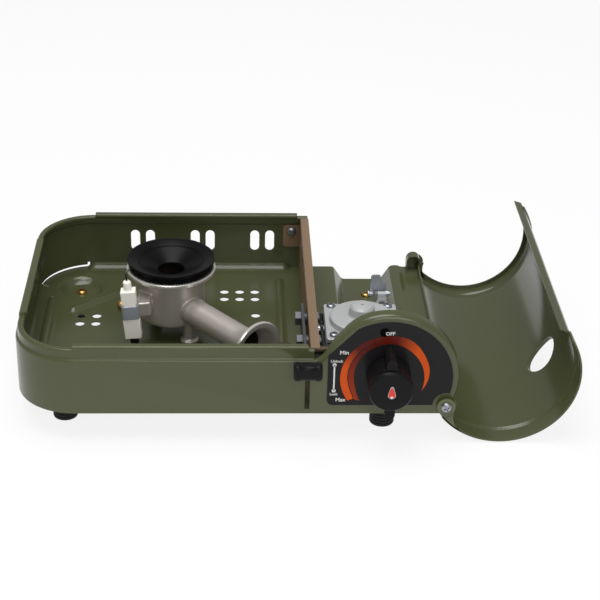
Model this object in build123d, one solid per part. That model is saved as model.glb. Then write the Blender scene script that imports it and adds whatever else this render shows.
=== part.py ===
"""Single-burner camping stove, standing open with its cartridge lid swung out to the right.

Millimetres. X runs from the tray's left wall towards the lid, Y from the front panel to the
back wall and Z up from the table. At export every piece is moved so that the origin lies on
the table, under the middle of the whole stove.
"""
import math
import os

from build123d import *

# Fits
run_gap = 0.05          # radial clearance of a turning shaft in its hole
bolt_gap = 0.05         # radial clearance of a fixed shank in its hole
side_gap = 0.4          # clearance beside a part that swings

# Pressed sheet body
sheet = 1.0
body_depth = 181.6
tray_corner = 36.0      # plan radius of the two left corners
skirt_z = 18.5          # lower edge of the walls
floor_z = 21.0          # top of the tray floor
ledge_width = 4.0
ledge_z = 24.5
shoulder_z = 54.0
joggle = 1.5            # inward step of the wall above the shoulder
rim_z = 60.2
rim_width = 3.5
flange_z = 62.2
flange_width = 4.5
back_flange = (29.8, 170.3)
front_flange = (29.6, 171.0)
left_flange = (42.0, body_depth - 41.6)
tray_right = 177.0      # right end of the back wall

# Openings and beads of the tray
slot_size = (6.0, 15.0)
slot_x = (62.0, 72.0, 102.0, 112.0, 142.0, 152.0)
slot_top_z = 48.5
vent_radius = 3.0
vent_xy = [(x, y) for x in (121.8, 131.8, 141.8) for y in (135.0, 145.0)]
vent_xy += [(x, y) for x in (30.5, 40.5) for y in (102.0, 112.0)]
vent_xy += [(142.0, 113.0)]
bead_height = 1.6
beads = (
    ((10.5, 69.0), (10.5, 133.0), 6.0),
    ((158.0, 70.0), (158.0, body_depth - 21.6), 4.0),
    ((24.5, 119.0), (54.0, 144.0), 4.0),
)
drain_slot = (30.9, 32.4, 100.0, 170.0)

# Cartridge bay and arched front panel
trough_left = 196.0
trough_right = 233.6
trough_slope = 6.0
trough_z = 11.5         # top of the trough's bottom
trough_front = 34.0     # the floor stays level in front of this
bay_right = 253.5
bay_lip = 4.0
arch_x = 217.0
arch_z = 41.9
arch_radius = 41.8
arch_flat = (120.0, 162.0)   # angles between which the left flank runs straight
arch_shoulder = 30.0    # radius at both ends of that flank
arch_bend = 3.0
arch_depth = 7.0
lever_slot_x = (169.05, 171.95)
lever_slot_z = (21.5, 53.0)

# Lid and its hinge
hinge_x = 251.6
hinge_z = 24.6
hinge_screw = 2.0
hinge_head = 1.9
hinge_play = 0.1        # end play of the lid's ears between screw head and collar
lid_open = 121.0        # degrees from closed
lid_inner = 42.3
lid_from = -20.5
lid_to = 153.5
lid_front = -3.0
band_inner = 43.6
band_back = 8.0
lid_back_gap = 0.9      # between the back edge of the bay and the lid's rear flange
lid_flange_inner = 39.8
lid_lip = 4.5
lid_lip_direction = 283.0
ear_radius = 6.5
finger_hole = 12.5
finger_hole_angle = 86.5
finger_hole_y = 62.4
rear_ear_left = 7.3
rear_ear_right = 3.0
rear_ear_top = 8.5

# Heat shield
shield_x = 172.0
shield_front = 8.0
shield_back_gap = 2.6
shield_top = 59.7
shield_end_gap = 0.4    # from the turned-in rim to the ends of the top flange
shield_flange_right = 177.5
shield_tab = (161.0, 37.0, 53.0)
shield_screw_xz = (166.4, 48.5)

# Dial plate, knob and spindle
fascia = 0.5
fascia_left = 182.0
fascia_bottom = 24.5
fascia_radius = 37.6
fascia_flank = ((182.0, 57.4), (199.5, 74.6))
fascia_corner = 3.5
knob_x = arch_x
knob_z = 45.2
knob_radius = 12.8
knob_front = -20.5
knob_back = -1.2
wing_radius = 19.5
wing_width = 6.0
spindle_radius = 3.0
spindle_front = -15.0
spindle_back = 22.0
spindle_boss = 8.0
pointer_bulb = 2.9
pointer_tip = 5.4       # from the bulb's centre
pointer_drop = 1.6      # bulb's centre below the knob's axis

# Regulator
reg_x = (183.0, 227.5)
reg_y = (32.5, 76.5)
reg_corner = 2.0
reg_flange_z = (42.0, 46.0)
diaphragm = 0.6
cover_z = 49.5
chamber_xy = (205.2, 55.0)
chamber_radius = 17.0
chamber_z = 26.0
chamber_bore = 14.0
cover_step = (19.5, 53.5)
dome_radius = 7.8
dome_round = 4.0
dome_z = 61.0
cover_screw_x = (187.6, 222.5)
cover_screw_y = (37.4, 73.2)
valve_x = (204.0, 229.0)
valve_y = (8.0, 32.0)
valve_z = (30.0, 59.0)
inlet_x = 219.0
inlet_z = 49.2
inlet_boss = 3.6
inlet_reach = 7.5       # boss beyond the regulator's flange
inlet_foot = 9.0        # block under the boss, below the flange's top
inlet_bore = 2.1
inlet_length = 8.0
lug_x = (173.0, 175.0)
lug_y = (24.0, 71.0)
lug_z = (26.0, 55.0)
web_y = (38.0, 62.0)
web_z = (26.0, 29.0)
spring_wire = 0.6
spring_radius = 3.4
spring_turns = 6

# Pawl above the inlet
pawl_side = 2.5         # pawl to the left of the inlet
pawl_setback = 4.5      # pawl in front of the inlet's mouth
pawl_z = 55.2
pawl_width = 9.8
pawl_cheek = 1.8        # the pawl's hub on the pin, at its left edge
pawl_rise = 3.0         # lower edge of the pawl's plate above the pin
pawl_tip_width = 6.1
pawl_tip_side = 1.3     # tip to the left of the pawl's middle
pawl_tip_length = 5.0
pawl_thick = 2.6
pawl_top = 67.6
pawl_pin_radius = 1.2
pawl_post = 5.2         # width of the post on the inlet that carries the pin
pawl_hub = 2.2
pin_nut = 1.6
coil_wire = 0.3
coil_clear = 0.7        # room for the pawl to swing towards the spring's leg
coil_pitch = 1.05
coil_turns = 2
coil_side = 0.45        # first turn to the right of the pawl's hub
coil_leg = 4.4
coil_down = 3.6         # lower leg, onto the inlet

# Lock lever
lever_y = 66.0
lever_z = 37.0
lever_pin = 2.0
lever_arm_x = (180.9, 182.5)
lever_neck_x = (169.5, 171.5)
lever_neck_z = (48.6, 52.4)
lever_cross_y = (3.2, 4.6)
lever_knob_x = (162.6, 177.8)
lever_knob_y = (-13.5, -5.5)
lever_knob_z = (47.8, 57.3)
lever_knob_round = 3.0
lever_tail_y = 80.5     # its hook rises behind the regulator's flange

# Gas jet, bracket and igniter box
jet_xy = (157.5, 12.7)
jet_block = 8.0
jet_block_z = (37.5, 56.6)
jet_nose = 3.4
pipe_z = 54.0
pipe_radius = 2.4
pipe_collar = 3.2
nut_length = 6.0
nut_radius = 4.6
nose_length = 9.0
nose_taper = 4.0
nose_tip = 1.6
bracket_x = (168.5, 170.0)
bracket_y = (8.8, 64.0)
bracket_z = (42.0, 58.0)
bolt_yz = ((30.0, 49.5), (57.0, 50.0))
bolt_radius = 2.5
bolt_head = 4.6
bolt_nut = (4.4, 4.0)   # hexagon and height
bolt_end = 0.6          # thread beyond the nut
spacer_radius = 4.0
piezo_x = (229.0, 243.0)
piezo_y = (8.0, 42.0)
piezo_z = (31.0, 45.0)
lead_radius = 1.4
lead_y = 52.0
lead_bends = (5.0, 9.0, 6.0, 5.0)

# Burner
burner_x = 89.3
burner_y = 94.0
tube_z = 43.5
tube_angle = -50.0      # plan direction of the mixing tube
tube_outer = 8.25
tube_inner = 6.4
mouth_at = 82.5
mouth_outer = 17.4
mouth_inner = 13.4
cup_outer = 20.8
cup_inner = 18.6
cup_floor = 33.0
cup_round = 2.4
cup_wall = 2.2          # thickness of the cup's floor
seat_radius = 27.4
seat_z = 66.5
seat_thick = 2.5
cap_radius = 27.0
cap_top = 72.5
cap_hole = 8.0
cap_rim = 2.2           # height of the cap's overhanging rim
cap_ring = 26.0         # ring of flame ports under the rim
cap_lip = (20.4, 70.6)  # foot of the sloping rim, radius and height
cap_dish = (19.5, 69.6) # start of the dish, likewise
cap_throat = (64.9, 62.6)   # dish at the hole, upper and lower face
leg_xy = ((100.5, 80.0), (78.1, 108.0))
leg_radius = 4.0
leg_top = 34.5
leg_screw = 10.0        # screw into the leg

# Spark electrode in front of the burner
spark_x = 67.1
spark_y = 68.0
spark_z = 29.3
spark_lean = 5.1
spark_lower = (11.0, 8.0, 15.2)
spark_waist = (7.8, 7.0, 25.2)
spark_upper = (10.2, 7.6, 34.3)
spark_tip = (2.5, 40.5)
spark_wire = 0.6
clip_sheet = 0.8
clip_tail = 9.6         # strap's legs behind the ceramic's middle
clip_screw = 1.4
clip_screw_yz = (6.4, 20.0)     # in the ceramic's own frame, behind it
clip_head = (3.8, 3.2)
igniter_lug = (7.6, -1.4, 19.0) # width, front and back in that frame
igniter_lug_z = (15.8, 25.0)

# Feet
foot_radius = 7.4
foot_left_x = 27.6
foot_right_x = 216.6
foot_left_y = (27.6, body_depth - 30.6)
foot_right_y = (20.4, body_depth - 23.6)
dimple_top = 15.5
dimple_bottom = 11.0
dimple_depth = 4.3
foot_screw = 1.6
pan_head = 3.2
pan_height = 2.1

# Places that follow from the sizes above
lid_outer = lid_inner + sheet
lid_back = body_depth + lid_back_gap + sheet
band_outer = band_inner + sheet
hinge_axis = Axis((hinge_x, 0, hinge_z), (0, 1, 0))
swing = math.hypot(arch_x - hinge_x, arch_z - hinge_z)
swing_angle = math.atan2(arch_z - hinge_z, arch_x - hinge_x) - math.radians(lid_open)
lid_open_x = hinge_x + swing * math.cos(swing_angle)
back_inner = body_depth - sheet
shield_right = shield_x + sheet
shield_back = back_inner - shield_back_gap
rim_inset = joggle + rim_width
shield_flange = (rim_inset + shield_end_gap, body_depth - rim_inset - shield_end_gap)
inlet_mouth = reg_y[1] + inlet_reach
pawl_x = inlet_x - pawl_side
pawl_y = inlet_mouth - pawl_setback
cover_base = reg_flange_z[1] + diaphragm
tube_dir = (math.cos(math.radians(tube_angle)), math.sin(math.radians(tube_angle)), 0)
spark_frame = Pos(spark_x, spark_y, spark_z) * Rot(0, -spark_lean, 0)
clip_side = spark_waist[0] / 2 + clip_sheet
left_foot_top = floor_z - dimple_depth - sheet
right_foot_top = (floor_z - sheet, trough_z - sheet)
coil_radius = pawl_thick / 2 + coil_clear + coil_wire
rear_most = lid_back + hinge_play + hinge_head
origin = ((lid_open_x + band_outer) / 2, (knob_front + rear_most) / 2, 0)


# Shapes used all over the stove
def block(x, y, z):
    """A box between three pairs of limits."""
    size = (x[1] - x[0], y[1] - y[0], z[1] - z[0])
    return Pos(x[0], y[0], z[0]) * Box(*size, align=(Align.MIN, Align.MIN, Align.MIN))


def rod(radius, length):
    return Cylinder(radius, length, align=(Align.CENTER, Align.CENTER, Align.MIN))


def rod_x(radius, x, y, z):
    return Pos(x[0], y, z) * Rot(0, 90, 0) * rod(radius, x[1] - x[0])


def rod_y(radius, x, y, z):
    return Pos(x, y[0], z) * Rot(-90, 0, 0) * rod(radius, y[1] - y[0])


def rod_z(radius, x, y, z):
    return Pos(x, y, z[0]) * rod(radius, z[1] - z[0])


def upright(sketch, z):
    """A plan outline raised between two heights."""
    return extrude(Pos(0, 0, z[0]) * sketch, z[1] - z[0], dir=(0, 0, 1))


def deep(sketch, y, x=0, z=0):
    """A front-view outline given depth between two Y values."""
    plane = Plane(origin=(x, y[1], z), x_dir=(1, 0, 0), z_dir=(0, -1, 0))
    return extrude(plane * sketch, y[1] - y[0], dir=(0, -1, 0))


def outline(*points):
    return make_face(Polyline(*points, close=True))


def ring_sector(inner, outer, start, end):
    """Part of a flat ring, between two angles in degrees."""
    rim = CenterArc((0, 0), outer, start, end - start)
    bore = CenterArc((0, 0), inner, start, end - start)
    return make_face([rim, bore, Line(rim @ 0, bore @ 0), Line(rim @ 1, bore @ 1)])


def turned(points):
    """A profile of (radius, height) points spun about the Z axis."""
    return revolve(Plane.XZ * outline(*points), Axis.Z)


# Body shell
def footprint(inset, right):
    """Plan outline of the tray with its two rounded left corners."""
    depth = body_depth - 2 * inset
    plan = Pos((inset + right) / 2, body_depth / 2) * Rectangle(right - inset, depth)
    return fillet(plan.vertices().group_by(Axis.X)[0], tray_corner - inset)


def tray():
    """The drawn tray: stepped walls, floor, ledge and turned-in rim."""
    beyond = tray_right + 1
    tub = upright(footprint(0, tray_right), (skirt_z, shoulder_z))
    tub += upright(footprint(joggle, tray_right), (shoulder_z, rim_z))
    tub -= upright(footprint(sheet, beyond), (skirt_z - 1, floor_z - sheet))
    tub -= upright(footprint(sheet, beyond), (floor_z, shoulder_z - sheet))
    tub -= upright(footprint(joggle + sheet, beyond), (shoulder_z - sheet, rim_z + 1))
    rim = footprint(joggle, tray_right) - footprint(rim_inset, beyond)
    tub += upright(rim, (rim_z - sheet, rim_z))
    ledge = footprint(sheet, shield_x) - footprint(sheet + ledge_width, beyond)
    tub += upright(ledge, (floor_z, ledge_z))
    front_end = block((shield_right + 2, beyond), (-1, 10), (shoulder_z, rim_z + 1))
    return tub - front_end


def raised_flanges():
    """The straight stretches of rim that stand higher and carry the pan support."""
    near = joggle
    far = body_depth - joggle
    wall = (rim_z - sheet, flange_z)
    cap = (flange_z - sheet, flange_z)
    parts = block(back_flange, (far - sheet, far), wall)
    parts += block(back_flange, (far - flange_width, far), cap)
    parts += block(front_flange, (near, near + sheet), wall)
    parts += block(front_flange, (near, near + flange_width), cap)
    parts += block((near, near + sheet), left_flange, wall)
    parts += block((near, near + flange_width), left_flange, cap)
    return parts


def bay_floor():
    """Floor of the cartridge bay, with the trough that the cartridge lies over."""
    low = trough_left + trough_slope
    high = trough_right - trough_slope
    trough = [(trough_left, floor_z), (low, trough_z), (high, trough_z), (trough_right, floor_z)]
    top = [(tray_right - 2, floor_z), *trough, (bay_right, floor_z)]
    under = [(x, z - sheet) for x, z in reversed(top)]
    floor = deep(outline(*top, *under), (trough_front, body_depth))
    floor += block((tray_right - 2, bay_right), (0, trough_front + sheet), (floor_z - sheet, floor_z))
    floor += deep(outline(*trough), (trough_front, trough_front + sheet))
    edge = (bay_right - sheet, bay_right)
    return floor + block(edge, (0, body_depth), (floor_z - sheet, floor_z + bay_lip))


def arch_block(inset, y):
    """The arch as a solid block: a round top whose left flank runs straight down to the shoulder."""
    middle = sum(arch_flat) / 2
    flat = arch_radius * math.cos(math.radians(arch_flat[1] - middle)) - inset
    plan = Circle(arch_radius - inset)
    plan -= Rot(0, 0, middle) * Pos(flat + arch_radius, 0) * Rectangle(2 * arch_radius, 2 * arch_radius)
    plan = fillet(plan.vertices().filter_by(lambda corner: corner.X < 0), arch_shoulder - inset)
    arch = deep(plan, y, arch_x, arch_z)
    return fillet(arch.faces().sort_by(Axis.Y)[0].edges(), arch_bend - inset)


def front_panel():
    """The arched front with its rounded, turned-back edge."""
    top = arch_z + arch_radius + 1
    hood = arch_block(0, (0, arch_depth))
    hollow = arch_block(sheet, (sheet, arch_depth + 2))
    depth = (-1, arch_depth + 1)
    left = block((arch_x - arch_radius - 1, arch_x), depth, (shoulder_z - sheet, top))
    right = block((arch_x, arch_x + arch_radius + 1), depth, (hinge_z, top))
    panel = (hood - hollow) & (left + right)
    panel += block((tray_right - 2, arch_x), (0, sheet), (skirt_z, shoulder_z))
    panel += block((arch_x, hinge_x), (0, sheet), (skirt_z, arch_z))
    return panel + rod_y(hinge_z - skirt_z, hinge_x, (0, sheet), hinge_z)


def rear_ear():
    """The hooded ear at the back that carries the lid's rear pivot."""
    x = (hinge_x - rear_ear_left, hinge_x + rear_ear_right)
    z = (floor_z - sheet, hinge_z + rear_ear_top)
    face = block(x, (back_inner, body_depth), z)
    hood = block(x, (back_inner - 5, back_inner), z)
    hood -= block((x[0] + sheet, x[1] - sheet), (0, body_depth), (0, z[1] - sheet))
    return face + hood


def body_shell():
    shell = tray() + raised_flanges() + bay_floor() + front_panel() + rear_ear()
    for start, end, width in beads:
        run = math.dist(start, end)
        turn = math.degrees(math.atan2(end[1] - start[1], end[0] - start[0]))
        bead = upright(SlotCenterToCenter(run - width, width), (floor_z, floor_z + bead_height))
        shell += Pos((start[0] + end[0]) / 2, (start[1] + end[1]) / 2) * Rot(0, 0, turn) * bead
    for y, right_y in zip(foot_left_y, foot_right_y):
        base = floor_z - dimple_depth
        dish = Cone(dimple_bottom, dimple_top, dimple_depth + sheet)
        hollow = Cone(dimple_bottom - sheet, dimple_top - sheet, dimple_depth + sheet)
        lift = (dimple_depth + sheet) / 2
        shell += Pos(foot_left_x, y, base - sheet + lift) * dish
        shell -= Pos(foot_left_x, y, base + lift) * hollow
        shell -= rod_z(foot_screw + bolt_gap, foot_left_x, y, (0, floor_z))
        shell -= rod_z(foot_screw + bolt_gap, foot_right_x, right_y, (0, floor_z + 1))
    for x in slot_x:
        edge = (x - slot_size[0] / 2, x + slot_size[0] / 2)
        shell -= block(edge, (back_inner - 1, body_depth + 1), (slot_top_z - slot_size[1], slot_top_z))
    for x, y in vent_xy:
        shell -= rod_z(vent_radius, x, y, (skirt_z, floor_z + 1))
    for x, y in leg_xy:
        shell -= rod_z(foot_screw + bolt_gap, x, y, (skirt_z, floor_z + 1))
    drain = Pos(tray_corner, body_depth - tray_corner) * ring_sector(*drain_slot)
    shell -= upright(drain, (skirt_z, ledge_z + 1))
    shell -= block(lever_slot_x, (-1, sheet + 1), lever_slot_z)
    shell -= rod_y(spindle_boss + side_gap, knob_x, (-1, sheet + 1), knob_z)
    shell -= rod_y(hinge_screw + bolt_gap, hinge_x, (-1, body_depth + 1), hinge_z)
    shell -= rod_y(clip_screw + bolt_gap, shield_screw_xz[0], (back_inner - 1, body_depth + 1),
                   shield_screw_xz[1])
    return shell


# Heat shield and its screw
def heat_shield():
    plate = block((shield_x, shield_right), (shield_front, shield_back), (floor_z, shoulder_z))
    plate += block((shield_x, shield_right), shield_flange, (shoulder_z - 1, shield_top))
    top = (shield_top - sheet, shield_top)
    plate += block((shield_x, shield_flange_right), shield_flange, top)
    left, low, high = shield_tab
    plate += block((shield_x, shield_right), (shield_back - 1, back_inner), (low, high))
    plate += block((left, shield_right), (back_inner - sheet, back_inner), (low, high))
    through = (shield_x - 1, shield_right + 1)
    for y, z in bolt_yz:
        plate -= rod_x(bolt_radius + bolt_gap, through, y, z)
    plate -= rod_x(pipe_radius + bolt_gap, through, jet_xy[1], pipe_z)
    lead_hole = lead_radius + side_gap
    plate -= rod_x(lead_hole, through, lead_y, floor_z + lead_radius + run_gap)
    plate -= rod_y(clip_screw + bolt_gap, shield_screw_xz[0], (back_inner - 2, body_depth),
                   shield_screw_xz[1])
    return plate


def screw_y(x, z, seat, tip, shank, head, height):
    """A pan-headed screw along Y: its head lies beyond the seat, away from the tip."""
    outward = 1 if seat > tip else -1
    body = rod_y(shank, x, sorted((seat, tip)), z)
    cap = rod_y(head, x, sorted((seat, seat + outward * height)), z)
    rim = cap.edges().filter_by(GeomType.CIRCLE).sort_by(Axis.Y)[-1 if outward > 0 else 0]
    return body + fillet(rim, height * 0.6)


def screw_z(x, y, seat, tip, shank, head, height):
    """The same screw along Z."""
    outward = 1 if seat > tip else -1
    body = rod_z(shank, x, y, sorted((seat, tip)))
    cap = rod_z(head, x, y, sorted((seat, seat + outward * height)))
    rim = cap.edges().filter_by(GeomType.CIRCLE).sort_by(Axis.Z)[-1 if outward > 0 else 0]
    return body + fillet(rim, height * 0.6)


def screw_x(y, z, seat, tip, shank, head, height):
    """The same screw along X."""
    outward = 1 if seat > tip else -1
    body = rod_x(shank, sorted((seat, tip)), y, z)
    cap = rod_x(head, sorted((seat, seat + outward * height)), y, z)
    rim = cap.edges().filter_by(GeomType.CIRCLE).sort_by(Axis.X)[-1 if outward > 0 else 0]
    return body + fillet(rim, height * 0.6)


def heat_shield_screw():
    x, z = shield_screw_xz
    return screw_y(x, z, back_inner - sheet, body_depth + 2, clip_screw, pan_head, pan_height)


# Dial plate
def fascia_plate():
    """Thin black plate that follows the arch and clears the hinge."""
    right = arch_x + fascia_radius
    top = arch_z + fascia_radius
    field = Pos(arch_x, arch_z) * Circle(fascia_radius)
    field += Pos((fascia_left + hinge_x) / 2, (fascia_bottom + arch_z) / 2) * Rectangle(
        hinge_x - fascia_left, arch_z - fascia_bottom)
    middle = ((fascia_left + right) / 2, (fascia_bottom + top) / 2)
    field &= Pos(*middle) * Rectangle(right - fascia_left, top - fascia_bottom)
    field -= outline(*fascia_flank, (fascia_flank[1][0], top + 1), (fascia_left - 1, top + 1),
                     (fascia_left - 1, fascia_flank[0][1]))
    field -= Pos(hinge_x, hinge_z) * Circle(ear_radius + 1.5)
    field -= Pos(knob_x, knob_z) * Circle(spindle_boss + side_gap)
    corners = field.vertices().group_by(Axis.X)[0]
    return deep(fillet(corners, fascia_corner), (-fascia, 0))


# Control knob, pointer and spindle
def knob_pointer_outline():
    """A drop with its point towards the knob's rim."""
    lean = math.asin(pointer_bulb / pointer_tip)
    side = pointer_bulb * math.cos(lean)
    rise = pointer_bulb * math.sin(lean)
    drop = Circle(pointer_bulb) + outline((-side, rise), (side, rise), (0, pointer_tip))
    return Pos(0, -pointer_drop) * drop


def control_knob():
    knob = rod_y(knob_radius, knob_x, (knob_front, knob_back), knob_z)
    knob = fillet(knob.edges().filter_by(GeomType.CIRCLE).sort_by(Axis.Y)[0], 1.2)
    wings = deep(SlotOverall(2 * wing_radius, wing_width, rotation=90), (knob_front + 2.5, knob_back),
                 knob_x, knob_z)
    knob += wings
    knob -= rod_y(spindle_radius, knob_x, (spindle_front, knob_back + 1), knob_z)
    return knob - deep(knob_pointer_outline(), (knob_front - 1, knob_front + 0.8), knob_x, knob_z)


def knob_pointer():
    return deep(knob_pointer_outline(), (knob_front + 0.1, knob_front + 0.8), knob_x, knob_z)


def valve_spindle():
    return rod_y(spindle_radius, knob_x, (spindle_front, spindle_back), knob_z)


# Regulator
def reg_plan():
    plan = Pos(sum(reg_x) / 2, sum(reg_y) / 2) * Rectangle(reg_x[1] - reg_x[0], reg_y[1] - reg_y[0])
    return chamfer(plan.vertices(), reg_corner)


def regulator_body():
    cx, cy = chamber_xy
    body = upright(reg_plan(), reg_flange_z)
    body += rod_z(chamber_radius, cx, cy, (chamber_z, reg_flange_z[0]))
    body += block(valve_x, valve_y, valve_z)
    body += block(valve_x, (valve_y[1] - 1, reg_y[0] + 6), (valve_z[0], reg_flange_z[0]))
    body += rod_y(spindle_boss, knob_x, (-0.4, valve_y[0]), knob_z)
    behind = reg_y[1] + run_gap
    foot = (inlet_x - inlet_boss, inlet_x + inlet_boss)
    body += rod_y(inlet_boss, inlet_x, (behind, inlet_mouth), inlet_z)
    body += block(foot, (reg_y[1] - 8, inlet_mouth - 2), (reg_flange_z[1] - inlet_foot, reg_flange_z[1]))
    body += block(foot, (behind, inlet_mouth - 2), (reg_flange_z[1] - 1, inlet_z))
    post = (inlet_x - pawl_post / 2, inlet_x + pawl_post / 2)
    body += block(post, (pawl_y - pawl_hub, pawl_y + pawl_hub), (inlet_z, pawl_z))
    body += rod_x(pawl_hub, post, pawl_y, pawl_z)
    body -= rod_x(pawl_pin_radius, (post[0] - 1, post[1] + 1), pawl_y, pawl_z)
    body += block(lug_x, lug_y, lug_z)
    body += block((lug_x[0], cx), web_y, web_z)
    body -= rod_z(chamber_bore, cx, cy, (chamber_z + 3, reg_flange_z[1] + 1))
    body -= rod_y(spindle_radius + run_gap, knob_x, (-1, spindle_back + 1), knob_z)
    body -= rod_y(inlet_bore, inlet_x, (inlet_mouth - inlet_length, inlet_mouth + 1), inlet_z)
    for y, z in bolt_yz:
        body -= rod_x(bolt_radius, (lug_x[0] - 1, lug_x[1] + 1), y, z)
    body -= rod_x(lever_pin, (lug_x[0] - 1, lug_x[1] + 1), lever_y, lever_z)
    for x in cover_screw_x:
        for y in cover_screw_y:
            body -= rod_z(clip_screw + bolt_gap, x, y, (reg_flange_z[0] - 1, reg_flange_z[1] + 1))
    return body


def regulator_diaphragm():
    disc = rod_z(chamber_radius, *chamber_xy, (reg_flange_z[1], cover_base))
    return disc


def regulator_cover():
    cx, cy = chamber_xy
    cover = upright(reg_plan(), (cover_base, cover_z))
    cover += rod_z(cover_step[0], cx, cy, (cover_z, cover_step[1]))
    dome = rod_z(dome_radius, cx, cy, (cover_step[1], dome_z))
    cover += fillet(dome.edges().filter_by(GeomType.CIRCLE).sort_by(Axis.Z)[-1], dome_round)
    cover -= rod_z(chamber_bore, cx, cy, (cover_base - 1, cover_step[1] - 1.5))
    cover -= rod_z(spring_radius + 1.2, cx, cy, (cover_base, dome_z - 2))
    cover -= rod_z(1.0, cx, cy, (dome_z - 3, dome_z + 1))
    skirt = upright(reg_plan(), (reg_flange_z[1], cover_base))
    cover += skirt - rod_z(chamber_radius + side_gap, cx, cy, (0, dome_z))
    for x in cover_screw_x:
        for y in cover_screw_y:
            cover -= rod_z(clip_screw + bolt_gap, x, y, (0, dome_z))
    return cover


def coil_path(radius, pitch, turns):
    """Quarter-turn arcs round the Z axis that climb one pitch a turn."""
    def at(quarter):
        turn = math.pi / 2 * quarter
        return (radius * math.cos(turn), radius * math.sin(turn), pitch * quarter / 4)

    return [ThreePointArc(at(q), at(q + 0.5), at(q + 1)) for q in range(4 * turns)]


def wound(name, path, radius, wire):
    """Round wire along a path, with the least gap between its turns measured on points."""
    whole = Wire(path)
    count = 300
    marks = [whole @ (n / count) for n in range(count + 1)]
    apart = int(math.pi * radius / whole.length * count)
    least = min((marks[i] - marks[j]).length for i in range(count + 1) for j in range(i + apart, count + 1))
    print(f"{name}: least gap between turns {least - 2 * wire:.2f} mm")
    return sweep(Plane(whole @ 0, z_dir=whole % 0) * Circle(wire), whole)


def regulator_spring():
    """Coil spring that presses on the diaphragm, inside the cover's dome."""
    pitch = (dome_z - 2 - cover_base - 2 * spring_wire - 0.2) / spring_turns
    path = coil_path(spring_radius, pitch, spring_turns)
    coil = wound("regulator_spring", path, spring_radius, spring_wire)
    return Pos(*chamber_xy, cover_base + spring_wire + 0.1) * coil


def regulator_cover_screws():
    tip = reg_flange_z[0]
    return [screw_z(x, y, cover_z, tip, clip_screw, 2.8, 1.8)
            for x in cover_screw_x for y in cover_screw_y]


def inlet_seal():
    ring = rod_y(inlet_boss - 0.1, inlet_x, (inlet_mouth, inlet_mouth + 1.6), inlet_z)
    return ring - rod_y(inlet_bore + 0.3, inlet_x, (inlet_mouth - 1, inlet_mouth + 3), inlet_z)


# Pawl, pin and torsion spring
def collar_pawl():
    """Flat plate with a narrower tip, hinged on the pin by one hub at its left edge."""
    left = pawl_x - pawl_width / 2
    hub = (left, left + pawl_cheek)
    thick = (pawl_y - pawl_thick / 2, pawl_y + pawl_thick / 2)
    shoulder = pawl_top - pawl_tip_length
    pawl = block((left, left + pawl_width), thick, (pawl_z + pawl_rise, shoulder))
    middle = pawl_x - pawl_tip_side
    half = pawl_tip_width / 2
    tip = block((middle - half, middle + half), thick, (shoulder - 0.5, pawl_top))
    pawl += fillet(tip.edges().filter_by(Axis.Y).group_by(Axis.Z)[-1], 1.6)
    pawl += block(hub, thick, (pawl_z, pawl_z + pawl_rise + 0.2)) + rod_x(pawl_hub, hub, pawl_y, pawl_z)
    return pawl - rod_x(pawl_pin_radius + run_gap, (hub[0] - 1, hub[1] + 1), pawl_y, pawl_z)


def pawl_pin():
    left = pawl_x - pawl_width / 2 - side_gap
    right = inlet_x + pawl_post / 2
    pin = rod_x(pawl_pin_radius, (left, right + pin_nut + 1), pawl_y, pawl_z)
    pin += rod_x(pawl_pin_radius + 0.7, (left - 0.8, left), pawl_y, pawl_z)
    return pin + rod_x(pawl_pin_radius + 0.7, (right, right + pin_nut), pawl_y, pawl_z)


def pawl_spring():
    """Torsion spring round the pin: one leg beside the pawl, the other down on the inlet."""
    path = coil_path(coil_radius, coil_pitch, coil_turns)
    first = path[0] @ 0
    last = path[-1] @ 1
    front = Rot(0, 0, -90)
    legs = (Line(first - Vector(0, coil_leg), first), Line(last, last + Vector(0, coil_down)))
    spring = wound("pawl_spring", [legs[0], *path, legs[1]], coil_radius, coil_wire)
    place = Pos(pawl_x - pawl_width / 2 + pawl_cheek + coil_side, pawl_y, pawl_z)
    return place * Rot(0, 90, 0) * front * spring


# Lock lever
def lever_arm():
    """One bent plate: a neck through the panel, a cross piece and the side arm on its pivot."""
    low, high = lever_neck_z
    neck = block(lever_neck_x, (lever_knob_y[1] - 4, lever_cross_y[1]), lever_neck_z)
    cross = block((lever_neck_x[0], lever_arm_x[1]), lever_cross_y, lever_neck_z)
    side = Polyline((lever_cross_y[0], low), (lever_y - 4, lever_z - 3.4), (lever_tail_y, lever_z - 3.4),
                    (lever_tail_y, lever_z + 3.4), (lever_y - 4, lever_z + 3.4),
                    (lever_cross_y[0], high), close=True)
    plane = Plane(origin=(lever_arm_x[0], 0, 0), x_dir=(0, 1, 0), z_dir=(1, 0, 0))
    arm = extrude(plane * make_face(side), lever_arm_x[1] - lever_arm_x[0], dir=(1, 0, 0))
    arm += rod_x(5.0, lever_arm_x, lever_y, lever_z)
    hook = block((lever_arm_x[0], lever_arm_x[1] + 9), (lever_tail_y - 1.6, lever_tail_y),
                 (lever_z - 3.4, lever_z + 3.4))
    arm = neck + cross + arm + hook
    return arm - rod_x(lever_pin + run_gap, (lever_arm_x[0] - 1, lever_arm_x[1] + 1), lever_y, lever_z)


def lever_knob():
    grip = block(lever_knob_x, lever_knob_y, lever_knob_z)
    grip = fillet(grip.edges().filter_by(Axis.X), lever_knob_round)
    for end in (0, -1):
        grip = fillet(grip.faces().sort_by(Axis.X)[end].edges(), 0.8)
    return grip - block(lever_neck_x, (lever_knob_y[1] - 4, 0), lever_neck_z)


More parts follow.
